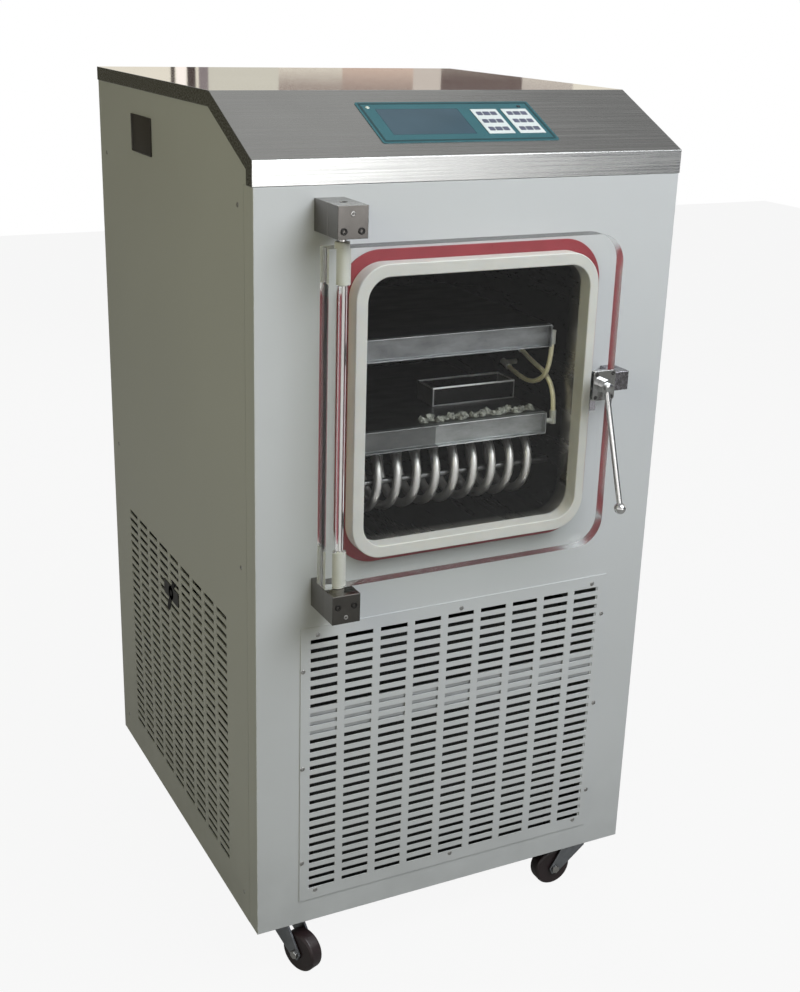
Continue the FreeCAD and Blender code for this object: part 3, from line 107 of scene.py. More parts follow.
bpy.ops.mesh.primitive_plane_add(size=12)
floor = bpy.context.object
floor.name = "studio_floor"
floor_paint, tree, output = blank_material("studio_floor")
matte = tree.nodes.new("ShaderNodeBsdfDiffuse")
matte.inputs["Color"].default_value = (0.26, 0.26, 0.255, 1)
glow = tree.nodes.new("ShaderNodeEmission")
glow.inputs["Color"].default_value = (1, 1, 1, 1)
glow.inputs["Strength"].default_value = 1.0
# The floor is pale to the eye, also through the door, and much less so to polished metal.
rays = tree.nodes.new("ShaderNodeLightPath").outputs
seen = arithmetic(tree, "MAXIMUM", rays["Is Camera Ray"], rays["Is Transmission Ray"])
polished = arithmetic(tree, "MULTIPLY", rays["Is Glossy Ray"], 0.12)
share = arithmetic(tree, "MULTIPLY", arithmetic(tree, "MAXIMUM", seen, polished), 0.92)
tree.links.new(mixed_shaders(tree, share, matte, glow).outputs[0], output.inputs["Surface"])
floor.data.materials.append(floor_paint)

room = bpy.data.worlds.new("pale_room")
room.use_nodes = True
bpy.context.scene.world = room
tree = room.node_tree
tree.nodes.clear()
output = tree.nodes.new("ShaderNodeOutputWorld")
ambient = tree.nodes.new("ShaderNodeBackground")
ambient.inputs["Color"].default_value = (1.0, 0.99, 0.74, 1)
ambient.inputs["Strength"].default_value = 0.13
shown = tree.nodes.new("ShaderNodeBackground")
shown.inputs["Color"].default_value = (1, 1, 1, 1)
shown.inputs["Strength"].default_value = 1.0
mirrored = tree.nodes.new("ShaderNodeBackground")
mirrored.inputs["Strength"].default_value = 1.0
axes = axes_of(tree, "Generated")
bands = tree.nodes.new("ShaderNodeValToRGB")
tree.links.new(axes["Z"], bands.inputs["Fac"])
bands.color_ramp.elements[0].color = (1.25, 1.23, 1.20, 1)
bands.color_ramp.elements[1].color = (0.34, 0.34, 0.34, 1)
for rise, tone in ((0.12, 1.1), (0.30, 0.62), (0.72, 0.44)):
    bands.color_ramp.elements.new(rise).color = (tone, tone, tone * 0.98, 1)
# Each patch of the room spans two bearings in degrees and two rises, and covers those before it.
# Dark shelves and a brown cupboard stand at the pale far wall, and a bright door at the near one.
far_wall = [
    (5.0, 60.0, -0.2, 0.09, (0.84, 0.78, 0.66)), (18.0, 18.4, 0.0, 0.10, (1.1, 1.0, 0.92)),
    (17.80, 17.96, 0.0, 0.10, (0.10, 0.08, 0.07)), (18.43, 18.76, 0.0, 0.10, (0.08, 0.06, 0.055)),
    (18.88, 19.25, 0.0, 0.10, (0.26, 0.22, 0.22)), (22.0, 27.3, 0.0555, 0.08, (0.26, 0.19, 0.17)),
    (24.5, 28.0, 0.0, 0.0535, (0.70, 0.52, 0.42)), (28.4, 31.6, 0.0400, 0.08, (0.12, 0.08, 0.075)),
    (31.6, 33.6, 0.0490, 0.08, (0.48, 0.42, 0.38)), (19.25, 22.0, 0.0, 0.08, (0.64, 0.61, 0.52)),
    (27.3, 28.4, 0.0, 0.08, (0.60, 0.53, 0.47))]
near_wall = [
    (95.0, 150.5, -1.0, 0.35, (0.14, 0.15, 0.17)), (151.5, 180.0, -0.17, 0.06, (3.3, 3.3, 3.3)),
    (90.0, 180.0, -1.0, -0.17, (0.20, 0.20, 0.21))]
left_wall = [(-85.0, -3.0, -1.0, 0.4, (0.12, 0.11, 0.08))]
ceiling = [(44.0, 85.0, 0.50, 0.80, (0.22, 0.22, 0.22))]
bearing = arithmetic(tree, "ARCTAN2", axes["X"], axes["Y"])


def between(tree, value, low, high):
    """1 where a value lies between two limits."""
    node = tree.nodes.new("ShaderNodeMath")
    node.operation = "COMPARE"
    node.inputs[1].default_value = (low + high) / 2
    node.inputs[2].default_value = (high - low) / 2
    tree.links.new(value, node.inputs[0])
    return node.outputs[0]


def blended(tree, share, first, second):
    """The first colour, giving way to the second as the share rises to 1."""
    mix = tree.nodes.new("ShaderNodeMix")
    mix.data_type = "RGBA"
    tree.links.new(share, mix.inputs["Factor"])
    for socket, colour in ((mix.inputs["A"], first), (mix.inputs["B"], second)):
        if isinstance(colour, tuple):
            socket.default_value = (*colour, 1)
        else:
            tree.links.new(colour, socket)
    return mix.outputs["Result"]


wall_tone = bands.outputs["Color"]
for left, right, low, high, tone in far_wall + near_wall + left_wall + ceiling:
    there = arithmetic(tree, "MULTIPLY", between(tree, bearing, math.radians(left), math.radians(right)),
                       between(tree, axes["Z"], low, high))
    wall_tone = blended(tree, there, wall_tone, tone)
tree.links.new(wall_tone, mirrored.inputs["Color"])
rays = tree.nodes.new("ShaderNodeLightPath").outputs
seen = arithmetic(tree, "MAXIMUM", rays["Is Camera Ray"], rays["Is Transmission Ray"])
unseen = mixed_shaders(tree, rays["Is Glossy Ray"], ambient, mirrored)
tree.links.new(mixed_shaders(tree, seen, unseen, shown).outputs[0], output.inputs["Surface"])


def soft_light(name, place, aim, size, power, colour=(1, 1, 1), in_metal=False):
    """A square lamp that faces a point. It shows in bright metal only if it is let."""
    bpy.ops.object.light_add(type="AREA", location=place)
    lamp = bpy.context.object
    lamp.name = name
    lamp.data.shape = "SQUARE"
    lamp.data.size = size
    lamp.data.energy = power
    lamp.data.color = colour
    lamp.visible_glossy = in_metal
    lamp.rotation_euler = (Vector(aim) - Vector(place)).to_track_quat("-Z", "Y").to_euler()


soft_light("key_light", (0.85, -2.0, 2.75), (0.05, -0.3, 0.95), 2.2, 84, (0.93, 0.975, 1.0), in_metal=True)
soft_light("fill_light", (-2.4, -1.4, 2.1), (-0.3, 0, 1.2), 1.3, 15, (1.0, 0.97, 0.60))
soft_light("back_light", (1.0, 2.8, 2.0), (0, 0.3, 0.7), 1.6, 40)
soft_light("top_light", (0.2, 0.6, 3.4), (0, 0, 1.1), 1.6, 12)


# ---- cabinet sheets ------------------------------------------------------------------------
# Folded steel sheets in baked light grey enamel: the front, both sides and the back. The enamel has a faint
# orange peel, and painted shade darkens it in smeared patches near the floor.
def finish_group(name, **inputs):
    """A shader group with named inputs, which puts out a colour, a roughness and a height."""
    group = bpy.data.node_groups.new(name, "ShaderNodeTree")
    kinds = {1: "NodeSocketFloat", 3: "NodeSocketVector", 4: "NodeSocketColor"}
    for label, value in inputs.items():
        kind = kinds[len(value) if isinstance(value, tuple) else 1]
        group.interface.new_socket(label, in_out="INPUT", socket_type=kind).default_value = value
    for label, kind in (("Colour", kinds[4]), ("Roughness", kinds[1]), ("Height", kinds[1])):
        group.interface.new_socket(label, in_out="OUTPUT", socket_type=kind)
    return group, group.nodes.new("NodeGroupInput").outputs, group.nodes.new("NodeGroupOutput").inputs


def surface_noise(tree, scale, detail):
    """Noise fixed to the piece, with its scale from a number or a socket."""
    place = tree.nodes.new("ShaderNodeTexCoord")
    noise = tree.nodes.new("ShaderNodeTexNoise")
    noise.inputs["Detail"].default_value = detail
    tree.links.new(place.outputs["Object"], noise.inputs["Vector"])
    if isinstance(scale, (int, float)):
        noise.inputs["Scale"].default_value = scale
    else:
        tree.links.new(scale, noise.inputs["Scale"])
    return noise.outputs["Fac"]


def spread(tree, noise, low, high):
    """Noise carried to another range, whose ends are numbers or sockets."""
    change = tree.nodes.new("ShaderNodeMapRange")
    tree.links.new(noise, change.inputs["Value"])
    change.inputs["From Min"].default_value = 0.3
    change.inputs["From Max"].default_value = 0.7
    for socket, amount in (("To Min", low), ("To Max", high)):
        if isinstance(amount, (int, float)):
            change.inputs[socket].default_value = amount
        else:
            tree.links.new(amount, change.inputs[socket])
    return change.outputs["Result"]


def varied(tree, noise, middle, less, more):
    """A middle value that noise lowers by as much as less and raises by as much as more."""
    lowest = arithmetic(tree, "SUBTRACT", middle, less)
    return spread(tree, noise, lowest, arithmetic(tree, "ADD", middle, more))


def shaded(tree, colour, value):
    """A colour multiplied by a value."""
    node = tree.nodes.new("ShaderNodeVectorMath")
    node.operation = "SCALE"
    tree.links.new(colour, node.inputs[0])
    tree.links.new(value, node.inputs["Scale"])
    return node.outputs[0]


enamel, given, result = finish_group("enamel_skin", Colour=(0.6, 0.6, 0.57, 1), Mottle=0.02, Roughness=0.4,
                                     Dirt=0.1)
cloud = surface_noise(enamel, 3.5, 4)
# Painted shade: the enamel is darkened in smeared patches towards the floor.
low_down = enamel.nodes.new("ShaderNodeMapRange")
low_down.interpolation_type = "SMOOTHSTEP"
low_down.inputs["From Min"].default_value = 0.30
low_down.inputs["From Max"].default_value = 0.06
enamel.links.new(axes_of(enamel)["Z"], low_down.inputs["Value"])
smear = spread(enamel, surface_noise(enamel, 14, 5), 0.2, 1.0)
smeared = arithmetic(enamel, "MULTIPLY", low_down.outputs[0], smear)
floor_shade = arithmetic(enamel, "MULTIPLY", smeared, given["Dirt"])
tone = arithmetic(enamel, "MULTIPLY", varied(enamel, cloud, 1.0, given["Mottle"], given["Mottle"]),
                  arithmetic(enamel, "SUBTRACT", 1.0, floor_shade))
enamel.links.new(shaded(enamel, given["Colour"], tone), result["Colour"])
enamel.links.new(varied(enamel, cloud, given["Roughness"], 0.05, 0.05), result["Roughness"])
enamel.links.new(surface_noise(enamel, 420, 2), result["Height"])


def coated(name, group, values, bump=0.0, **sockets):
    """A material: one effect group feeding a Principled shader, with plain values on its other sockets."""
    material, tree, output = blank_material(name)
    shader = tree.nodes.new("ShaderNodeBsdfPrincipled")
    tree.links.new(shader.outputs[0], output.inputs["Surface"])
    skin = tree.nodes.new("ShaderNodeGroup")
    skin.node_tree = group
    for label, value in values.items():
        skin.inputs[label].default_value = (*value, 1) if label == "Colour" else value
    tree.links.new(skin.outputs["Colour"], shader.inputs["Base Color"])
    tree.links.new(skin.outputs["Roughness"], shader.inputs["Roughness"])
    if bump:
        relief = tree.nodes.new("ShaderNodeBump")
        relief.inputs["Strength"].default_value = bump
        relief.inputs["Distance"].default_value = 0.0004
        tree.links.new(skin.outputs["Height"], relief.inputs["Height"])
        tree.links.new(relief.outputs["Normal"], shader.inputs["Normal"])
    for label, value in sockets.items():
        shader.inputs[label.replace("_", " ")].default_value = value
    return material


def paint(name, colour, mottle, roughness, floor_shade, bump):
    """Baked enamel, with painted shade near the floor."""
    values = {"Colour": colour, "Mottle": mottle, "Roughness": roughness, "Dirt": floor_shade}
    return coated(name, enamel, values, bump)


def wear(material, *names):
    """Give a material to CAD pieces, in place of what they came with."""
    for name in names:
        cad[name].data.materials.clear()
        cad[name].data.materials.append(material)


def only(thing):
    """Leave one object selected and active."""
    bpy.ops.object.select_all(action="DESELECT")
    thing.select_set(True)
    bpy.context.view_layer.objects.active = thing


def rounded_edges(piece, width, segments, sharp=30):
    """Round the edges of a piece that turn by more than an angle."""
    only(piece)
    rounding = piece.modifiers.new("rounding", "BEVEL")
    rounding.width = width
    rounding.segments = segments
    rounding.limit_method = "ANGLE"
    rounding.angle_limit = math.radians(sharp)
    rounding.use_clamp_overlap = True
    bpy.ops.object.modifier_apply(modifier="rounding")


def eased(node, body, width, segments=2, sharp=30):
    """A copy of a CAD piece with its sharp edges rounded, which is shown in its place."""
    copy = cad[node].copy()
    copy.data = cad[node].data.copy()
    copy.name = node + "_eased"
    copy.parent = None
    copy.matrix_world = Matrix.Identity(4)
    bpy.context.collection.objects.link(copy)
    only(copy)
    bpy.ops.object.mode_set(mode="EDIT")
    bpy.ops.mesh.select_all(action="SELECT")
    bpy.ops.mesh.remove_doubles(threshold=0.000002)
    bpy.ops.mesh.dissolve_limited(angle_limit=math.radians(0.4))
    bpy.ops.object.mode_set(mode="OBJECT")
    if width:
        rounded_edges(copy, width, segments, sharp)
    bpy.ops.object.shade_smooth_by_angle(angle=math.radians(sharp))
    flats = copy.modifiers.new("flats", "WEIGHTED_NORMAL")
    flats.keep_sharp = True
    bpy.ops.object.modifier_apply(modifier="flats")
    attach(copy, body)
    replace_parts(copy, node)
    return copy


# Its fifth number, 0.16, is the painted shade near the floor.
cabinet_enamel = paint("cabinet_enamel", (0.60, 0.61, 0.635), 0.025, 0.42, 0.16, 0.12)
wear(cabinet_enamel, "front_panel", "left_side_panel", "right_side_panel", "rear_panel", "front_grille")
for sheet_name in ("front_panel", "right_side_panel"):
    eased(sheet_name, "cabinet", 0.0012)


# ---- side plate and drain lever ------------------------------------------------------------
# A bare dark plate is riveted on the left side below the cover, and the drain fitting has a small
# cast lever turned across its plate.
def finished(piece, body, finish):
    """Settle a modelled piece's place in its mesh, give it its material and fix it to a body."""
    only(piece)
    bpy.ops.object.transform_apply(location=True, rotation=True, scale=True)
    piece.data.materials.clear()
    piece.data.materials.append(finish)
    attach(piece, body)


def rounded_corners(plate, through, corner):
    """Round the four corners of a thin plate, whose edges run through it along axis 0 or 2."""
    only(plate)
    bpy.ops.object.transform_apply(location=False, rotation=False, scale=True)
    bpy.ops.object.mode_set(mode="EDIT")
    bpy.ops.mesh.select_all(action="DESELECT")
    bpy.ops.object.mode_set(mode="OBJECT")
    for edge in plate.data.edges:
        one, two = [plate.data.vertices[k].co for k in edge.vertices]
        edge.select = all(abs(one[k] - two[k]) < 1e-6 for k in range(3) if k != through)
    bpy.ops.object.mode_set(mode="EDIT")
    bpy.ops.mesh.select_mode(type="EDGE")
    bpy.ops.mesh.bevel(offset=corner, segments=4)
    bpy.ops.object.mode_set(mode="OBJECT")


left_face = -0.2985


def side_tab(name, along, height, length, width, thickness, turn, corner):
    """A thin rounded plate lying on the left side panel."""
    bpy.ops.object.select_all(action="DESELECT")
    bpy.ops.mesh.primitive_cube_add(size=1, location=(left_face - thickness / 2, along, height),
                                    rotation=(math.radians(turn), 0, 0))
    tab = bpy.context.object
    tab.name = name
    tab.scale = (thickness, length, width)
    rounded_corners(tab, 0, corner)
    bpy.ops.object.shade_smooth_by_angle(angle=math.radians(30))
    return tab


plate_enamel = paint("plate_enamel", (0.035, 0.030, 0.027), 0.08, 0.45, 0.0, 0.1)
lever_black = paint("lever_black", (0.008, 0.008, 0.008), 0.15, 0.7, 0.0, 0.2)
side_plate = side_tab("side_plate", along=0.135, height=1.1135, length=0.090, width=0.051, thickness=0.0006,
                      turn=0, corner=0.002)
finished(side_plate, "cabinet", plate_enamel)
lever = side_tab("drain_lever", along=0.0590, height=0.4490, length=0.060, width=0.010, thickness=0.0013,
                 turn=-62, corner=0.0045)
finished(lever, "cabinet", lever_black)
boss = side_tab("drain_lever_boss", along=0.0570, height=0.4550, length=0.022, width=0.022, thickness=0.0014,
                turn=0, corner=0.0105)
finished(boss, "cabinet", lever_black)


# ---- top cover -----------------------------------------------------------------------------
# One folded sheet of brushed stainless steel: the lip, the sloped fascia, the deck and a flange
# down each side. The grain runs across the cabinet.
brushed, given, result = finish_group("brushed_grain", Colour=(0.55, 0.55, 0.54, 1), Grain=(1, 1, 1),
                                      Contrast=0.08, Roughness=0.28)
place = brushed.nodes.new("ShaderNodeTexCoord")
drawn = brushed.nodes.new("ShaderNodeVectorMath")
drawn.operation = "MULTIPLY"
brushed.links.new(place.outputs["Object"], drawn.inputs[0])
brushed.links.new(given["Grain"], drawn.inputs[1])
hairs = brushed.nodes.new("ShaderNodeTexNoise")
hairs.inputs["Scale"].default_value = 1.0
hairs.inputs["Detail"].default_value = 4.0
hairs.inputs["Roughness"].default_value = 0.65
brushed.links.new(drawn.outputs[0], hairs.inputs["Vector"])
hair = hairs.outputs["Fac"]
streak = varied(brushed, hair, 1.0, given["Contrast"], given["Contrast"])
smudge = spread(brushed, surface_noise(brushed, 6, 4), 0.94, 1.05)
tone = arithmetic(brushed, "MULTIPLY", streak, smudge)
brushed.links.new(shaded(brushed, given["Colour"], tone), result["Colour"])
brushed.links.new(varied(brushed, hair, given["Roughness"], 0.06, 0.08), result["Roughness"])
brushed.links.new(hair, result["Height"])


def brushed_metal(name, colour, grain, contrast, roughness, metallic=1.0, bump=0.0):
    """Bare metal with a grain, whose three numbers say how close its lines are along x, y and z."""
    values = {"Colour": colour, "Grain": grain, "Contrast": contrast, "Roughness": roughness}
    return coated(name, brushed, values, bump, Metallic=metallic)


def opened(material):
    """A finished material's tree, its shader's inputs, and what feeds the shader's colour."""
    tree = material.node_tree
    shader = next(node for node in tree.nodes if node.type == "BSDF_PRINCIPLED")
    return tree, shader.inputs, shader.inputs["Base Color"].links[0].from_socket


def lessened(tree, mask, loss):
    """1, less a loss where the mask is 1."""
    return arithmetic(tree, "SUBTRACT", 1.0, arithmetic(tree, "MULTIPLY", mask, loss))


# The deck is polished nearly to a mirror. The flanges down the sides are painted dark and without metal, a
# painted dark reflection.
flange_face = 0.2994
deck_face = 1.1914
cover_steel = brushed_metal("cover_steel", (0.60, 0.60, 0.59), (3, 420, 420), 0.022, 0.26, bump=0.04)
tree, surface, tint = opened(cover_steel)
sheen = surface["Roughness"].links[0].from_socket
axes = axes_of(tree)
# Painted reflection: the flanges are darkened to 0.14 of the colour and lose their metal.
flange = arithmetic(tree, "GREATER_THAN", arithmetic(tree, "ABSOLUTE", axes["X"], 0), flange_face)
tree.links.new(shaded(tree, tint, lessened(tree, flange, 0.86)), surface["Base Color"])
tree.links.new(lessened(tree, flange, 1.0), surface["Metallic"])
deck = arithmetic(tree, "GREATER_THAN", axes["Z"], deck_face)
tree.links.new(arithmetic(tree, "MULTIPLY", sheen, lessened(tree, deck, 0.78)), surface["Roughness"])
wear(cover_steel, "top_cover")
eased("top_cover", "cabinet", 0.0014, sharp=18)


# ---- cabinet screws ------------------------------------------------------------------------
# Small plated pan-head screws with a cross recess hold the grille plate, the left side panel
# and the rear panel. Each is driven straight into the sheet.
def cut_out(piece, tool):
    """Cut a tool's shape out of a piece, and put the tool away."""
    only(piece)
    cut = piece.modifiers.new("cut", "BOOLEAN")
    cut.operation = "DIFFERENCE"
    cut.object = tool
    bpy.ops.object.modifier_apply(modifier="cut")
    bpy.data.objects.remove(tool)


def pan_head(radius, rise):
    """A pan-head screw's head at the origin, facing up, with its cross recess cut."""
    bpy.ops.object.select_all(action="DESELECT")
    bpy.ops.mesh.primitive_cylinder_add(vertices=20, radius=radius, depth=rise, location=(0, 0, rise / 2))
    head = bpy.context.object
    rounded_edges(head, rise * 0.55, 3)
    for turn in (0, math.pi / 2):
        bpy.ops.mesh.primitive_cube_add(size=1, location=(0, 0, rise), rotation=(0, 0, turn))
        blade = bpy.context.object
        blade.scale = (radius * 1.15, radius * 0.24, rise * 1.1)
        cut_out(head, blade)
    bpy.ops.object.shade_smooth_by_angle(angle=math.radians(35))
    return head


def joined(things, name):
    """Several pieces joined as one in the first one's object."""
    only(things[0])
    for thing in things:
        thing.select_set(True)
    bpy.ops.object.join()
    things[0].name = name
    return things[0]


def set_of(model, name, places, turn):
    """Copies of one model, each with its own mesh, turned and moved, then joined as one piece."""
    copies = []
    for place in places:
        copy = model.copy()
        copy.data = model.data.copy()
        bpy.context.collection.objects.link(copy)
        copy.rotation_euler = turn
        copy.location = place
        copies.append(copy)
    return joined(copies, name)


facing_front = (math.pi / 2, 0, 0)
facing_left = (0, -math.pi / 2, 0)
facing_back = (-math.pi / 2, 0, 0)
grille_face = -0.2915
rear_face = 0.350
screw_steel = brushed_metal("screw_steel", (0.42, 0.41, 0.40), (90, 90, 90), 0.08, 0.3)
screw = pan_head(0.0033, 0.0014)
grille_spots = [(side * 0.2335, grille_face, height) for side in (-1, 1) for height in (0.180, 0.328, 0.473)]
grille_spots += [(across, grille_face, height) for across in (-0.213, 0.0, 0.213)
                 for height in (0.132, 0.523)]
finished(set_of(screw, "grille_screws", grille_spots, facing_front), "cabinet", screw_steel)
side_spots = [(left_face, along, height) for along in (-0.240, 0.318) for height in (0.120, 0.611, 1.070)]
finished(set_of(screw, "side_screws", side_spots, facing_left), "cabinet", screw_steel)
rear_spots = [(across, rear_face, height) for across in (-0.285, 0.285)
              for height in (0.12, 0.42, 0.74, 1.06)]
rear_spots += [(across, rear_face, height) for across in (-0.1, 0.1) for height in (0.10, 1.06)]
finished(set_of(screw, "rear_screws", rear_spots, facing_back), "cabinet", screw_steel)
bpy.data.objects.remove(screw)


# ---- control panel -------------------------------------------------------------------------
# A printed film stuck on the slope, with a window for the screen and two pale membrane keypads.
# A dark line is printed round the film, and two small lamps show through it.
moulded, given, result = finish_group("moulded_skin", Colour=(0.1, 0.1, 0.1, 1), Mottle=0.05, Scale=60.0,
                                      Roughness=0.5)
tone = varied(moulded, surface_noise(moulded, given["Scale"], 3), 1.0, given["Mottle"], given["Mottle"])
moulded.links.new(shaded(moulded, given["Colour"], tone), result["Colour"])
grit = surface_noise(moulded, 900, 2)
moulded.links.new(varied(moulded, grit, given["Roughness"], 0.05, 0.05), result["Roughness"])
moulded.links.new(grit, result["Height"])


def moulding(name, colour, mottle, scale, roughness, bump=0.0, **sockets):
    """Plastic, rubber, film or glass, with blotches of one scale."""
    values = {"Colour": colour, "Mottle": mottle, "Scale": scale, "Roughness": roughness}
    return coated(name, moulded, values, bump, **sockets)


wear(moulding("panel_film", (0.030, 0.122, 0.150), 0.06, 30.0, 0.32), "control_overlay")
wear(moulding("screen_glass", (0.048, 0.092, 0.128), 0.10, 12.0, 0.12), "display_window")
wear(moulding("keypad_film", (0.68, 0.72, 0.74), 0.02, 40.0, 0.45), "keypad_left", "keypad_right")
for keypad in ("keypad_left", "keypad_right"):
    eased(keypad, "cabinet", 0.0004)

# The slope rises by 66 mm over a run of 142 mm.
slope_tilt = math.atan2(66, 142)
slope_foot = Vector((0, -0.290, 1.126))
film_top = 0.0008
keypad_top = 0.00182


def lay_on_slope(piece, across, up, rise):
    """Lean a piece as the slope leans, and lay it at its place across, up and off the slope."""
    piece.rotation_euler = (slope_tilt, 0, 0)
    lift = Vector((across, up, rise))
    lift.rotate(piece.rotation_euler)
    piece.location = slope_foot + lift


def slope_plate(name, left, right, low, high, base, rise, corner):
    """A thin rounded plate on the slope, placed by its edges across and up the slope."""
    bpy.ops.object.select_all(action="DESELECT")
    bpy.ops.mesh.primitive_cube_add(size=1)
    plate = bpy.context.object
    plate.name = name
    plate.scale = (right - left, high - low, rise)
    rounded_corners(plate, 2, corner)
    lay_on_slope(plate, (left + right) / 2, (low + high) / 2, base + rise / 2)
    return plate


film_ink = moulding("film_ink", (0.012, 0.05, 0.06), 0.05, 40.0, 0.35)
for name, left, right, low, high in (
        ("film_line_low", -0.119, 0.124, 0.0325, 0.0355),
        ("film_line_high", -0.119, 0.124, 0.1195, 0.1225),
        ("film_line_left", -0.119, -0.116, 0.0360, 0.1190),
        ("film_line_right", 0.121, 0.124, 0.0360, 0.1190)):
    line = slope_plate(name, left, right, low, high, film_top, 0.0002, 0.0008)
    finished(line, "cabinet", film_ink)

# The keys are low printed bars with no words: three rows of three on each keypad.
keys = []
key_tall = 0.0085
for keypad_left in (0.032, 0.077):
    for row in range(3):
        low = 0.0525 + 0.0185 * row
        for left, right in ((0.0045, 0.0125), (0.0140, 0.0235), (0.0250, 0.0335)):
            keys.append(slope_plate("key", keypad_left + left, keypad_left + right, low, low + key_tall,
                                    keypad_top, 0.0003, 0.0012))
key_ink = moulding("key_ink", (0.10, 0.11, 0.17), 0.2, 120.0, 0.4)
finished(joined(keys, "key_bars"), "cabinet", key_ink)
lamp_pale = moulding("lamp_pale", (0.62, 0.66, 0.60), 0.05, 90.0, 0.2)
lamp_dark = moulding("lamp_dark", (0.02, 0.02, 0.03), 0.05, 90.0, 0.2)
for name, across, finish in (("lamp_left", -0.109, lamp_pale), ("lamp_right", 0.108, lamp_dark)):
    bpy.ops.object.select_all(action="DESELECT")
    bpy.ops.mesh.primitive_uv_sphere_add(segments=20, ring_count=10, radius=0.0028)
    lens = bpy.context.object
    lens.name = name
    lens.scale = (1, 1, 0.45)
    lay_on_slope(lens, across, 0.112, film_top)
    bpy.ops.object.shade_smooth()
    finished(lens, "cabinet", finish)
black_plastic = moulding("black_plastic", (0.02, 0.02, 0.02), 0.1, 80.0, 0.5, bump=0.1)
wear(black_plastic, "display_module")


# ---- vacuum chamber ------------------------------------------------------------------------
# A welded box of brushed stainless steel whose neck stands out of the front panel. The walls inside are
# polished and painted dark as painted shade, and the bare neck behind the seal is painted pale as painted
# light.
def shaded_along(material, axis, start, stop, first, last):
    """Scale a material's colour along one axis of the piece, from one value to another."""
    tree, surface, tint = opened(material)
    change = tree.nodes.new("ShaderNodeMapRange")
    change.inputs["From Min"].default_value = start
    change.inputs["From Max"].default_value = stop
    change.inputs["To Min"].default_value = first
    change.inputs["To Max"].default_value = last
    tree.links.new(axes_of(tree)[axis], change.inputs["Value"])
    tree.links.new(shaded(tree, tint, change.outputs[0]), surface["Base Color"])


neck_front = -0.298
wall_start = -0.262
chamber_steel = brushed_metal("chamber_steel", (0.20, 0.19, 0.18), (24, 3, 24), 0.10, 0.26, 0.9)
# Painted light and shade: the neck is painted 4.5 times as bright and the walls inside a twentieth as
# bright.
shaded_along(chamber_steel, "Y", neck_front, wall_start, 4.5, 0.05)
wear(chamber_steel, "vacuum_chamber")
neck_middle = Vector((-0.010, 0, 0.8195))


def pushed_out(ring, half_width, half_height, corner, growth, right_growth):
    """Push the outer rim of a ring round the neck outwards, where the rubber bulges."""
    only(ring)
    bpy.ops.object.mode_set(mode="EDIT")
    bpy.ops.mesh.select_mode(type="VERT")
    bpy.ops.mesh.select_all(action="DESELECT")
    bpy.ops.object.mode_set(mode="OBJECT")
    for vertex in ring.data.vertices:
        aside = max(abs(vertex.co.x - neck_middle.x) - half_width + corner, 0)
        up = max(abs(vertex.co.z - neck_middle.z) - half_height + corner, 0)
        vertex.select = math.hypot(aside, up) > corner
    bpy.ops.object.mode_set(mode="EDIT")
    # The right side has its own growth, so the point that stays put lies right of the middle.
    stretch = (growth + right_growth) / (2 * half_width)
    still = (neck_middle.x + half_width - right_growth / stretch, 0, neck_middle.z)
    bpy.ops.transform.resize(value=(1 + stretch, 1, 1 + growth / half_height), center_override=still)
    bpy.ops.object.mode_set(mode="OBJECT")


# The milky silicone ring on the neck's edge, which the door closes on. It doesn't bulge on the
# right, where the latch's tongue passes close by.
seal_rubber = moulding("seal_rubber", (0.75, 0.725, 0.715), 0.04, 25.0, 0.42, bump=0.1,
                       Subsurface_Weight=0.3, Subsurface_Radius=(0.02, 0.016, 0.012))
wear(seal_rubber, "neck_seal")
pushed_out(eased("neck_seal", "cabinet", 0.0042, 4), half_width=0.1650, half_height=0.1795, corner=0.0380,
           growth=0.0025, right_growth=0)

# The red rubber gasket on the front panel, round the neck.
wear(moulding("gasket_rubber", (0.27, 0.028, 0.040), 0.12, 30.0, 0.5, bump=0.15), "panel_gasket")
pushed_out(eased("panel_gasket", "cabinet", 0.0010), half_width=0.1710, half_height=0.1855, corner=0.0440,
           growth=0.0050, right_growth=0.0050)


# ---- door ----------------------------------------------------------------------------------
# A thick plate of clear acrylic with sawn, hazy edges. Lamps shine through it to the shelves.
# Its upright edges are tinted red, a painted refraction of the gasket behind: the back half of the right one
# and all of the left.
acrylic_tint = (0.985, 0.99, 0.985)
refracted_gasket_red = (0.50, 0.17, 0.20)
door_middle = 0.82
straight_half = 0.155
back_half_from = -0.3295
door_acrylic, tree, output = blank_material("door_acrylic")
clear = tree.nodes.new("ShaderNodeBsdfPrincipled")
clear.inputs["Transmission Weight"].default_value = 1.0
clear.inputs["IOR"].default_value = 1.46
clear.inputs["Specular Tint"].default_value = (0.35, 0.35, 0.35, 1)
facing = axes_of(tree, "Normal")
edge = arithmetic(tree, "LESS_THAN", arithmetic(tree, "ABSOLUTE", facing["Y"], 0), 0.5)
haze = arithmetic(tree, "ADD", arithmetic(tree, "MULTIPLY", edge, 0.16), 0.01)
tree.links.new(haze, clear.inputs["Roughness"])
spot = axes_of(tree)
upright_edge = arithmetic(tree, "GREATER_THAN", arithmetic(tree, "ABSOLUTE", facing["X"], 0), 0.7)
from_middle = arithmetic(tree, "ABSOLUTE", arithmetic(tree, "SUBTRACT", spot["Z"], door_middle), 0)
between_corners = arithmetic(tree, "LESS_THAN", from_middle, straight_half)
back_half = arithmetic(tree, "GREATER_THAN", spot["Y"], back_half_from)
left_edge = arithmetic(tree, "LESS_THAN", spot["X"], 0)
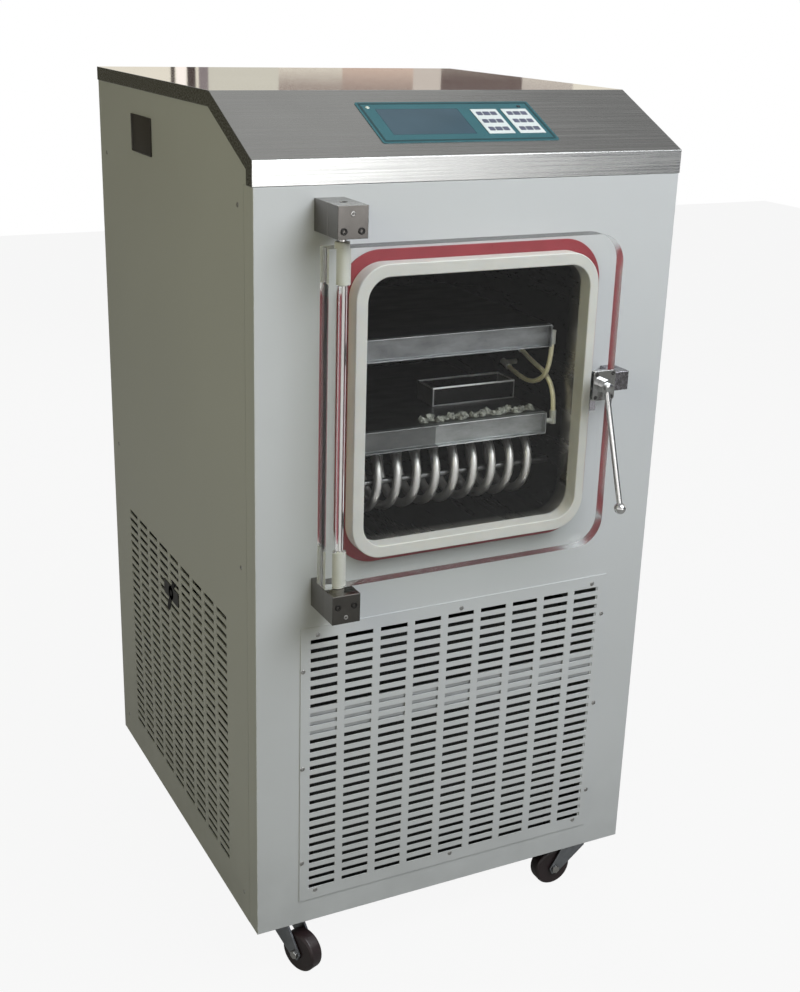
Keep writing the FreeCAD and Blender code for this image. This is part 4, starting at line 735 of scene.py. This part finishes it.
# Painted refraction: the gasket's red is painted on these edges.
painted_refraction = arithmetic(tree, "MULTIPLY", arithmetic(tree, "MAXIMUM", back_half, left_edge),
                      arithmetic(tree, "MULTIPLY", upright_edge, between_corners))
tree.links.new(blended(tree, painted_refraction, acrylic_tint, refracted_gasket_red), clear.inputs["Base Color"])
lit_through = tree.nodes.new("ShaderNodeBsdfTransparent")
lit_through.inputs["Color"].default_value = (0.93, 0.94, 0.93, 1)
rays = tree.nodes.new("ShaderNodeLightPath").outputs
passing = arithmetic(tree, "MAXIMUM", rays["Is Shadow Ray"], rays["Is Diffuse Ray"])
tree.links.new(mixed_shaders(tree, passing, clear, lit_through).outputs[0], output.inputs["Surface"])
wear(door_acrylic, "door_panel")
eased("door_panel", "door", 0.0010)


# ---- hinge ---------------------------------------------------------------------------------
# Split blocks of dark polished bronze-tinted metal clamp the steel rod. White nylon bushings in
# the door's edge turn on it.
blocks = ("lower_hinge_base", "upper_hinge_base", "lower_hinge_cap", "upper_hinge_cap")
block_front = -0.3575
block_metal = brushed_metal("block_metal", (0.17, 0.16, 0.15), (40, 260, 40), 0.10, 0.20, bump=0.06)
# Painted shade and light: the front faces are painted at 0.75 of the colour, the other faces at 1.25.
shaded_along(block_metal, "Y", block_front, block_front + 0.0005, 0.75, 1.25)
wear(block_metal, *blocks)
wear(brushed_metal("rod_steel", (0.62, 0.61, 0.59), (300, 300, 8), 0.05, 0.16), "hinge_rod")
white_nylon = moulding("white_nylon", (0.66, 0.65, 0.61), 0.04, 60.0, 0.45)
wear(white_nylon, "lower_bushing", "upper_bushing")
for block in blocks:
    eased(block, "cabinet", 0.0014, 3)
for bushing in ("lower_bushing", "upper_bushing"):
    eased(bushing, "door", 0.0010)
eased("hinge_rod", "cabinet", 0.0008)


# ---- hinge screws --------------------------------------------------------------------------
# Black socket-head cap screws clamp each cap to its base, and a bright grub screw holds the rod
# in each block.
def socket_head(radius, rise, key_radius):
    """A cap screw's head at the origin, facing up, with its six-sided socket."""
    bpy.ops.object.select_all(action="DESELECT")
    bpy.ops.mesh.primitive_cylinder_add(vertices=24, radius=radius, depth=rise, location=(0, 0, rise / 2))
    head = bpy.context.object
    bpy.ops.mesh.primitive_cylinder_add(vertices=6, radius=key_radius, depth=rise * 1.4,
                                        location=(0, 0, rise))
    cut_out(head, bpy.context.object)
    rounded_edges(head, radius * 0.1, 2, 50)
    bpy.ops.object.shade_smooth_by_angle(angle=math.radians(35))
    return head


cap_face = -0.358
rod_across = -0.2045
black_oxide = brushed_metal("black_oxide", (0.035, 0.033, 0.032), (90, 90, 90), 0.1, 0.35, 0.8)
cap = socket_head(0.0042, 0.0022, 0.0021)
caps = [(rod_across + side, cap_face, height) for height in (0.589, 1.053) for side in (-0.011, 0.011)]
finished(set_of(cap, "hinge_screws", caps, facing_front), "cabinet", black_oxide)
grub = socket_head(0.0030, 0.0010, 0.0013)
grubs = [(rod_across, cap_face, height) for height in (0.5745, 1.0725)]
finished(set_of(grub, "hinge_grub_screws", grubs, facing_front), "cabinet", screw_steel)
bpy.data.objects.remove(cap)
bpy.data.objects.remove(grub)


# ---- latch ---------------------------------------------------------------------------------
# A chromed hub on the door carries a spindle, with a lever and its ball in front. Behind the door
# a steel tongue turns with them into the throat of a keeper on the front panel.
keeper_steel = brushed_metal("keeper_steel", (0.26, 0.25, 0.27), (200, 30, 200), 0.10, 0.25)
wear(keeper_steel, "latch_keeper", "latch_tongue")
eased("latch_keeper", "cabinet", 0.0014, 3)
latch_across = 0.165
latch_height = 0.835
latch_chrome = brushed_metal("latch_chrome", (0.62, 0.62, 0.62), (60, 60, 60), 0.02, 0.12)
wear(latch_chrome, "latch_hub", "latch_spindle", "lever_arm", "lever_knob")
eased("latch_hub", "door", 0.0012, 3)
for part in ("latch_tongue", "latch_spindle", "lever_arm"):
    eased(part, "latch", 0.0006, 2, 40)
eased("lever_knob", "latch", 0, sharp=60)

# Four small black screws hold the hub on the door, and a nut closes the spindle.
hub_face = -0.3483
hub_spots = [(latch_across + aside, hub_face, latch_height + rise)
             for aside in (-0.0125, 0.0125) for rise in (-0.0155, 0.0155)]
hub_screw = pan_head(0.0026, 0.0009)
finished(set_of(hub_screw, "hub_screws", hub_spots, facing_front), "door", black_oxide)
bpy.data.objects.remove(hub_screw)


def hex_nut(depth, place):
    """A six-sided nut whose axis runs front to back."""
    bpy.ops.object.select_all(action="DESELECT")
    bpy.ops.mesh.primitive_cylinder_add(vertices=6, radius=0.0065, depth=depth, location=place,
                                        rotation=facing_front)
    return bpy.context.object


nut = hex_nut(0.004, (latch_across, -0.3596, latch_height))
nut.name = "spindle_nut"
rounded_edges(nut, 0.0012, 3)
bpy.ops.object.shade_smooth_by_angle(angle=math.radians(30))
finished(nut, "latch", latch_chrome)


# ---- shelves and tray ----------------------------------------------------------------------
# Hollow plates of brushed steel are hung on brackets, and a small folded tray stands on the lower one, whose
# right half is paler. Behind their front edges the plates are painted dark as painted shade, so only the
# front edges are bright.
shelf_grain = (22, 60, 60)
shelf_front = -0.2617
paler_from = -0.0405
edge_step = 0.0005
shelf_steel = brushed_metal("shelf_steel", (0.17, 0.175, 0.18), shelf_grain, 0.30, 0.34, 0.85)
# Painted shade: the plate keeps its colour at the front edge and is darkened to a tenth behind it.
shaded_along(shelf_steel, "Y", shelf_front, shelf_front + edge_step, 1.0, 0.10)
wear(shelf_steel, "upper_shelf_plate")
lower_steel = brushed_metal("lower_shelf_steel", (0.105, 0.108, 0.108), shelf_grain, 0.25, 0.34, 0.8)
# Painted shade as on the upper plate.
shaded_along(lower_steel, "Y", shelf_front, shelf_front + edge_step, 1.0, 0.10)
shaded_along(lower_steel, "X", paler_from, paler_from + edge_step, 1.0, 2.25)
wear(lower_steel, "lower_shelf_plate")

# The tray is painted lit and shaded: its folded rim is painted bright as a highlight, its foot and both ends
# are painted a little brighter than its side, and its side is painted dark.
tray_rim = 0.8078
tray_foot = 0.7858
tray_middle = 0.056
tray_half = 0.0620
tray_steel = brushed_metal("tray_steel", (0.3, 0.3, 0.3), shelf_grain, 0.1, 0.34, 0.85)
tree, surface, tint = opened(tray_steel)
spot = axes_of(tree)
rim = arithmetic(tree, "GREATER_THAN", spot["Z"], tray_rim)
foot = arithmetic(tree, "LESS_THAN", spot["Z"], tray_foot)
from_middle = arithmetic(tree, "ABSOLUTE", arithmetic(tree, "SUBTRACT", spot["X"], tray_middle), 0)
end = arithmetic(tree, "GREATER_THAN", from_middle, tray_half)
# Painted highlight on the rim, painted light on the foot and ends, painted shade on the side.
rim_highlight = arithmetic(tree, "MULTIPLY", rim, 3.0)
foot_and_end_light = arithmetic(tree, "MULTIPLY", arithmetic(tree, "MAXIMUM", foot, end), 1.3)
tone = arithmetic(tree, "ADD", arithmetic(tree, "MAXIMUM", rim_highlight, foot_and_end_light), 0.05)
tree.links.new(shaded(tree, tint, tone), surface["Base Color"])
wear(tray_steel, "product_tray")
dull_steel = brushed_metal("dull_steel", (0.10, 0.10, 0.10), shelf_grain, 0.30, 0.34, 0.85)
wear(dull_steel, "shelf_brackets_left", "shelf_brackets_right")
for shelf in ("upper_shelf_plate", "lower_shelf_plate"):
    eased(shelf, "cabinet", 0.0008)
eased("product_tray", "cabinet", 0.0004)


# ---- shelf hoses ---------------------------------------------------------------------------
# Two limp silicone hoses carry the heating fluid from the shelves to the chamber's wall. Each is
# pushed on a white nylon elbow at both ends and hangs free between them.
wear(white_nylon, "hose_elbows")
hose_silicone = moulding("hose_silicone", (0.92, 0.84, 0.60), 0.05, 90.0, 0.35)
wear(hose_silicone, "upper_hose", "lower_hose")
eased("hose_elbows", "cabinet", 0.0005)


def hung_hose(name, points):
    """A hose through the points it is held and bent at."""
    curve = bpy.data.curves.new(name, "CURVE")
    curve.dimensions = "3D"
    curve.resolution_u = 16
    curve.bevel_depth = 0.00325
    curve.bevel_resolution = 5
    curve.use_fill_caps = True
    spline = curve.splines.new("NURBS")
    spline.points.add(len(points) - 1)
    for point, place in zip(spline.points, points):
        point.co = (*place, 1)
    spline.order_u = 3
    spline.use_endpoint_u = True
    hose = bpy.data.objects.new(name, curve)
    bpy.context.collection.objects.link(hose)
    curve.materials.append(hose_silicone)
    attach(hose, "cabinet")
    return hose


upper_line = 0.13275
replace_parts(hung_hose("upper_hose_hung", [
    (upper_line, -0.258, 0.875), (upper_line, -0.257, 0.840), (upper_line, -0.229, 0.815),
    (upper_line, -0.192, 0.809), (upper_line, -0.154, 0.818)]), "upper_hose")
lower_line = 0.14025
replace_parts(hung_hose("lower_hose_hung", [
    (lower_line, -0.260, 0.783), (lower_line, -0.259, 0.809), (lower_line, -0.235, 0.830),
    (lower_line, -0.202, 0.836), (lower_line, -0.173, 0.846)]), "lower_hose")


# ---- product on the lower shelf ------------------------------------------------------------
# A loose row of pale freeze-dried pieces lies along the lower shelf's front edge, each one a
# broken crust with an uneven top.
crust = moulding("dried_crust", (0.21, 0.21, 0.19), 0.8, 260.0, 0.8, bump=0.6)
shelf_top = 0.78405
lump_count = 16
lumps = []
for number in range(lump_count):
    bpy.ops.object.select_all(action="DESELECT")
    across = -0.052 + 0.0108 * number
    along = -0.2475 + 0.005 * math.sin(2.3 * number)
    share = 0.7 + 0.5 * math.sin(1.7 * number)
    bpy.ops.mesh.primitive_ico_sphere_add(subdivisions=2, radius=0.0066, location=(across, along, 0.784))
    lump = bpy.context.object
    lump.scale = (1.0, 1.25, 0.8 * share + 0.35)
    lump.rotation_euler = (0, 0, 1.1 * number)
    bpy.ops.object.transform_apply(location=True, rotation=True, scale=True)
    bpy.ops.object.mode_set(mode="EDIT")
    bpy.ops.mesh.select_all(action="SELECT")
    bpy.ops.transform.vertex_random(offset=0.0040, seed=number)
    bpy.ops.mesh.bisect(plane_co=(0, 0, shelf_top), plane_no=(0, 0, 1), clear_inner=True, use_fill=True)
    bpy.ops.object.mode_set(mode="OBJECT")
    lumps.append(lump)
product = joined(lumps, "dried_product")
bpy.ops.object.shade_smooth_by_angle(angle=math.radians(25))
finished(product, "cabinet", crust)


# ---- evaporator coil -----------------------------------------------------------------------
# Stainless tube is wound in bright turns above the chamber's floor, and both its ends run straight
# back to the rear wall. A dull tie rod crosses in front of it.
wear(dull_steel, "coil_tie_rod")
coil_steel = brushed_metal("coil_steel", (0.50, 0.49, 0.48), (300, 30, 30), 0.06, 0.42, 0.9, 0.1)
wear(coil_steel, "evaporator_coil")
coil_back = -0.202
coil_level = 0.702
coil_radius = 0.042
coil_pitch = 0.0285
coil_turns = 8.5
steps_in_a_turn = 40
coil_end = coil_pitch * coil_turns / 2
tube_radius = 0.006
tail_length = 0.335
bpy.ops.object.select_all(action="DESELECT")
bpy.ops.mesh.primitive_circle_add(vertices=20, radius=tube_radius, location=(coil_end, 0, coil_radius),
                                  rotation=facing_front)
coil = bpy.context.object
bpy.ops.object.transform_apply(location=True, rotation=True, scale=True)
winding = coil.modifiers.new("winding", "SCREW")
winding.axis = "X"
winding.angle = math.radians(360 * coil_turns)
winding.screw_offset = -coil_turns * coil_pitch
winding.steps = round(steps_in_a_turn * coil_turns)
winding.render_steps = winding.steps
bpy.ops.object.modifier_apply(modifier="winding")
coil.location = (0, coil_back, coil_level)
bpy.ops.object.transform_apply(location=True, rotation=True, scale=True)
coil_pieces = [coil]
for across, height in ((coil_end, coil_level + coil_radius), (-coil_end, coil_level - coil_radius)):
    bpy.ops.mesh.primitive_cylinder_add(vertices=20, radius=tube_radius, depth=tail_length,
                                        rotation=facing_front,
                                        location=(across, coil_back + tail_length / 2, height))
    coil_pieces.append(bpy.context.object)
joined(coil_pieces, "wound_coil")
bpy.ops.object.mode_set(mode="EDIT")
bpy.ops.mesh.select_all(action="SELECT")
bpy.ops.mesh.remove_doubles(threshold=0.00001)
bpy.ops.mesh.normals_make_consistent(inside=False)
bpy.ops.object.mode_set(mode="OBJECT")
bpy.ops.object.shade_smooth_by_angle(angle=math.radians(50))
finished(coil, "cabinet", coil_steel)
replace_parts(coil, "evaporator_coil")


# ---- plant behind the grilles --------------------------------------------------------------
# The finned condenser, its fan and motor and the black compressor stand on the pan, below the deck
# that carries the chamber. A bright rail crosses behind the front grille. The vacuum pipe and the
# power inlet pass through the rear panel, and the drain port through the left one.
wear(brushed_metal("plated_steel", (0.50, 0.51, 0.52), (30, 30, 30), 0.12, 0.42, 0.9), "cross_rail")
dark_plate = brushed_metal("dark_plate", (0.10, 0.10, 0.10), (30, 30, 30), 0.12, 0.5, 0.7)
wear(dark_plate, "base_pan", "chamber_deck", "fan_shroud")
wear(brushed_metal("fin_metal", (0.045, 0.045, 0.045), (500, 5, 8), 0.35, 0.5, 0.6, 0.5), "condenser")
wear(brushed_metal("fan_metal", (0.5, 0.5, 0.5), (20, 20, 20), 0.1, 0.4, 0.9), "condenser_fan")
black_enamel = paint("black_enamel", (0.015, 0.015, 0.016), 0.1, 0.35, 0.0, 0.1)
wear(black_enamel, "compressor", "fan_motor", "castor_plates")
black_rubber = moulding("black_rubber", (0.02, 0.02, 0.02), 0.1, 60.0, 0.6, bump=0.2)
wear(black_rubber, "compressor_feet", "drain_tube")
wear(black_plastic, "power_inlet", "drain_port")
wear(brushed_metal("pipe_steel", (0.4, 0.4, 0.39), shelf_grain, 0.1, 0.34), "vacuum_pipe")


# ---- castors -------------------------------------------------------------------------------
# Pressed steel forks hang from their plates on swivels, with dark moulded wheels. A nut on each
# side of the fork closes the wheel's axle.
fork_steel = brushed_metal("fork_steel", (0.24, 0.25, 0.27), (60, 60, 60), 0.15, 0.35, 0.9)
wheel_moulding = moulding("wheel_moulding", (0.026, 0.016, 0.018), 0.15, 50.0, 0.35, bump=0.2)
castor_places = {"front_left": (-0.240, -0.250, 292), "front_right": (0.240, -0.250, 180),
                 "rear_left": (-0.240, 0.310, 255), "rear_right": (0.240, 0.310, 200)}
castor_trail = 0.034
axle_height = 0.030
nut_aside = 0.0176
for corner, (across, along, swing) in castor_places.items():
    wear(fork_steel, "castor_fork_" + corner)
    wear(wheel_moulding, "castor_wheel_" + corner)
    eased("castor_fork_" + corner, "castor_" + corner, 0.0006)
    eased("castor_wheel_" + corner, "wheel_" + corner, 0.0012, 3)
    turn = math.radians(swing)
    nuts = joined([hex_nut(0.0042, (0, side * nut_aside, 0)) for side in (-1, 1)], "axle_nuts_" + corner)
    rounded_edges(nuts, 0.0007, 2)
    bpy.ops.object.transform_apply(location=True, rotation=True, scale=True)
    nuts.rotation_euler = (0, 0, turn)
    nuts.location = (across + castor_trail * math.cos(turn), along + castor_trail * math.sin(turn),
                     axle_height)
    finished(nuts, "castor_" + corner, screw_steel)
